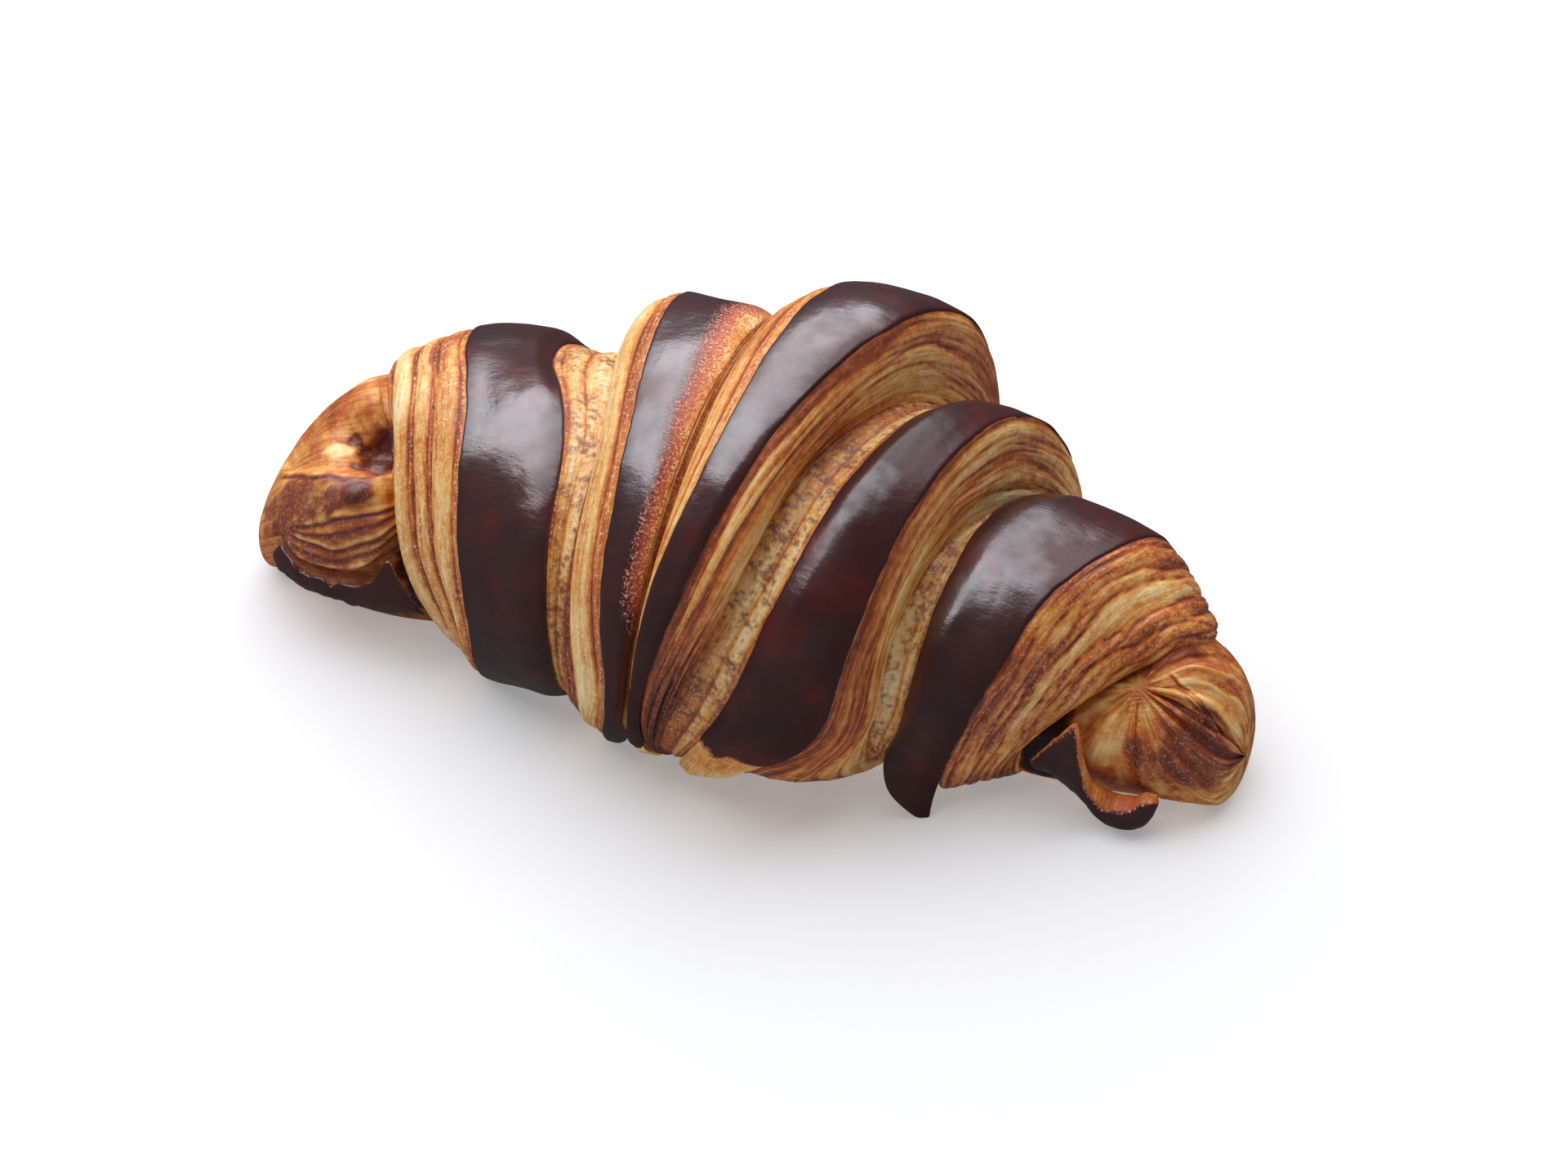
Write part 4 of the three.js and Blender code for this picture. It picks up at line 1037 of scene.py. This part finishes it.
class Graph:
    """A material's nodes, made by short calls.

    A source is a number, a vector, the name of a colour or a node's output.
    """

    def __init__(self, name):
        self.material = bpy.data.materials.new(name)
        self.material.use_nodes = True
        self.tree = self.material.node_tree

    def feed(self, node, sources):
        for name, source in sources.items():
            if isinstance(source, str):
                source = linear(COLOURS[source])
            if isinstance(source, (int, float, tuple)):
                node.inputs[name].default_value = source
            else:
                self.tree.links.new(source, node.inputs[name])

    def finished(self, sources):
        """The material, with these sources in its shader."""
        self.feed(self.tree.nodes["Principled BSDF"], sources)
        return self.material

    def node(self, kind, sources, output, **settings):
        made = self.tree.nodes.new(kind)
        for name, value in settings.items():
            setattr(made, name, value)
        self.feed(made, sources)
        return made.outputs[output]

    def value(self, name, output="Fac"):
        return self.node("ShaderNodeAttribute", {}, output, attribute_name=name)

    def grain(self):
        return self.value("grain", "Vector")

    def place(self):
        return self.node("ShaderNodeTexCoord", {}, "Object")

    def add(self, first, second, clamp=False):
        return self.node("ShaderNodeMath", {0: first, 1: second}, 0, operation="ADD", use_clamp=clamp)

    def times(self, first, second):
        return self.node("ShaderNodeMath", {0: first, 1: second}, 0, operation="MULTIPLY")

    def noise(self, vector, texture):
        """One of the named noises, from 0 to 1."""
        size, detail, roughness = TEXTURES[texture]
        sizes = size if isinstance(size, tuple) else (size, size, size)
        scale = tuple(1 / (part * METRES) for part in sizes)
        place = self.node("ShaderNodeVectorMath", {0: vector, 1: scale}, 0, operation="MULTIPLY")
        sources = {"Vector": place, "Scale": 1.0, "Detail": detail, "Roughness": roughness}
        return self.node("ShaderNodeTexNoise", sources, "Fac")

    def between(self, value, name):
        """A value's soft way through one of the named ranges."""
        sources = dict(zip(RANGE_SOCKETS, RANGES[name]), Value=value)
        return self.node("ShaderNodeMapRange", sources, "Result", interpolation_type="SMOOTHSTEP")

    def ramp(self, value, stops):
        made = self.tree.nodes.new("ShaderNodeValToRGB")
        self.feed(made, {"Fac": value})
        elements = made.color_ramp.elements
        while len(elements) < len(stops):
            elements.new(0.5)
        for element, (position, colour) in zip(elements, stops):
            element.position = position
            element.color = linear(colour)
        return made.outputs["Color"]

    def mix(self, factor, first, second):
        return self.node("ShaderNodeMix", {0: factor, 6: first, 7: second}, 2, data_type="RGBA")

    def bump(self, height, distance, strength):
        sources = {"Height": height, "Distance": distance * METRES, "Strength": strength}
        return self.node("ShaderNodeBump", sources, "Normal")


def dough_colour(graph, fibre, mottle):
    """The baked dough's colour: its tone, changed a little by the fine fibres and the mottle."""
    tone = graph.add(graph.value("tone"), graph.between(fibre, "fibre_tone"))
    return graph.ramp(graph.add(tone, graph.between(mottle, "mottle_tone")), BAKED)


def dough_material():
    graph = Graph("baked_dough_layers")
    place = graph.place()
    fibre, mottle = graph.noise(graph.grain(), "fibre"), graph.noise(place, "mottle")
    colour = dough_colour(graph, fibre, mottle)
    stain = graph.times(graph.value("stain"), graph.between(mottle, "mottle_stain"))
    colour = graph.mix(stain, colour, "stain")
    colour = graph.mix(graph.between(graph.value("tone"), "burnt"), colour, "burnt")
    cells = graph.noise(place, "cells")
    spots = graph.add(cells, graph.between(graph.noise(place, "clusters"), "clusters"))
    speck = graph.times(graph.value("speck"), graph.between(spots, "spots"))
    colour = graph.mix(graph.times(speck, SPECK_COVER), colour, "speck")
    # Pale flecks on the crests: painted glints of the glaze.
    painted_glint = graph.times(graph.value("painted_glint"), graph.between(graph.noise(place, "glint_spots"), "glint_spots"))
    colour = graph.mix(graph.times(painted_glint, PAINTED_GLINT_COVER), colour, "painted_glint")
    foam = graph.times(cells, graph.between(graph.value("speck"), "foam"))
    rise = graph.add(graph.times(fibre, FIBRE_RISE), foam)
    return graph.finished({
        "Base Color": colour,
        "Roughness": graph.between(mottle, "dough_roughness"),
        "Coat Weight": graph.between(graph.value("stain"), "dough_coat"),
        "Coat Roughness": DOUGH_COAT_ROUGHNESS,
        "Normal": graph.bump(rise, **DOUGH_BUMP),
    })


def cocoa_material():
    """Cocoa skin, with a coat of gloss where it hasn't faded, rusty and sandy on the way to dough."""
    graph = Graph("cocoa_glaze")
    grain, place = graph.grain(), graph.place()
    pale = dough_colour(graph, graph.noise(grain, "fibre"), graph.noise(place, "mottle"))
    red = graph.times(graph.value("red"), graph.between(graph.noise(place, "cloud"), "cloud"))
    colour = graph.mix(red, "cocoa", "red")
    sand, whole = graph.noise(place, "sand"), graph.value("fade")
    fade = graph.add(whole, graph.times(graph.between(whole, "fading"), graph.between(sand, "ragged")))
    rust = graph.ramp(graph.between(fade, "rust_tone"), RUST)
    colour = graph.mix(graph.between(fade, "rusty"), colour, rust)
    grains = graph.times(graph.between(sand, "sand"), graph.between(fade, "sandy"))
    colour = graph.mix(grains, colour, "sand")
    colour = graph.mix(graph.between(fade, "bare"), colour, pale)
    patches = graph.between(graph.noise(place, "patches"), "patches")
    gloss = graph.add(graph.value("gloss"), patches, clamp=True)
    wrinkles = graph.noise(grain, "wrinkles")
    return graph.finished({
        "Base Color": colour,
        "Roughness": graph.between(fade, "cocoa_roughness"),
        "Coat Weight": graph.times(graph.between(fade, "worn"), gloss),
        "Normal": graph.bump(wrinkles, **SKIN_BUMP),
        "Coat Normal": graph.bump(wrinkles, **COAT_BUMP),
        **COCOA_COAT,
    })


def floor_material():
    return Graph("floor_paper").finished({
        "Base Color": "paper", "Roughness": FLOOR_ROUGHNESS,
        "Emission Color": "glow", "Emission Strength": FLOOR_GLOW,
    })


# The stage and the view. Lengths are in metres, but the sensor's width in millimetres and the frame's
# in pixels. Angles are in degrees and the light in watts.
FLOOR_GLOW = 0.3
FLOOR_ROUGHNESS = 0.9
FLOOR_HALF = 3.0
VIEW_AZIMUTH = 23.0
VIEW_ELEVATION = 38.0
VIEW_DISTANCE = 0.7
VIEW_TARGET = (0.0064, 0.00207, 0.0172)
FRAME_WIDTH = 1920
PIXELS_PER_METRE = 8700
SENSOR_WIDTH = 36.0
LIGHT_DIRECTION = (-0.28, 0.22, 0.93)
LIGHT_DISTANCE = 0.7
LIGHT_SIZE = (1.4, 1.3)
LIGHT_POWER = 16.0
LIGHT_COLOUR = (0.93, 0.945, 1.0)
WORLD_STRENGTH = 0.06
WORLD_COLOUR = (0.95, 0.96, 1.0, 1.0)


def build_stage():
    corners = [(x * FLOOR_HALF, y * FLOOR_HALF, 0) for x, y in ((-1, -1), (1, -1), (1, 1), (-1, 1))]
    mesh = bpy.data.meshes.new("floor")
    mesh.from_pydata(corners, [], [(0, 1, 2, 3)])
    mesh.materials.append(floor_material())
    floor = in_scene("floor", mesh)
    floor.visible_glossy = False


def build_light():
    lamp = bpy.data.lights.new("soft_box", "AREA")
    lamp.shape = "RECTANGLE"
    lamp.size, lamp.size_y = LIGHT_SIZE
    lamp.energy = LIGHT_POWER
    lamp.color = LIGHT_COLOUR
    light = in_scene("soft_box", lamp)
    direction = Vector(LIGHT_DIRECTION).normalized()
    light.location = Vector(VIEW_TARGET) + direction * LIGHT_DISTANCE
    light.rotation_mode = "QUATERNION"
    light.rotation_quaternion = direction.to_track_quat("Z", "Y")
    world = bpy.data.worlds.new("room")
    world.use_nodes = True
    background = world.node_tree.nodes["Background"]
    background.inputs["Color"].default_value = WORLD_COLOUR
    background.inputs["Strength"].default_value = WORLD_STRENGTH
    bpy.context.scene.world = world
    bpy.context.scene.view_settings.view_transform = "Standard"


def build_camera():
    turn, tilt = math.radians(VIEW_AZIMUTH), math.radians(VIEW_ELEVATION)
    back = Vector((math.sin(turn) * math.cos(tilt), -math.cos(turn) * math.cos(tilt), math.sin(tilt)))
    lens = bpy.data.cameras.new("camera")
    lens.sensor_width = SENSOR_WIDTH
    lens.lens = SENSOR_WIDTH * PIXELS_PER_METRE * VIEW_DISTANCE / FRAME_WIDTH
    camera = in_scene("camera", lens)
    camera.location = Vector(VIEW_TARGET) + back * VIEW_DISTANCE
    camera.rotation_mode = "QUATERNION"
    camera.rotation_quaternion = (-back).to_track_quat("-Z", "Y")
    bpy.context.scene.camera = camera


build_camera()
build_stage()
build_light()
dough = dough_material()
cocoa = cocoa_material()
build_dough(dough)
for strip in STRIPS:
    build_skin(strip, cocoa)
for lip in LIPS:
    build_lip(lip, cocoa)
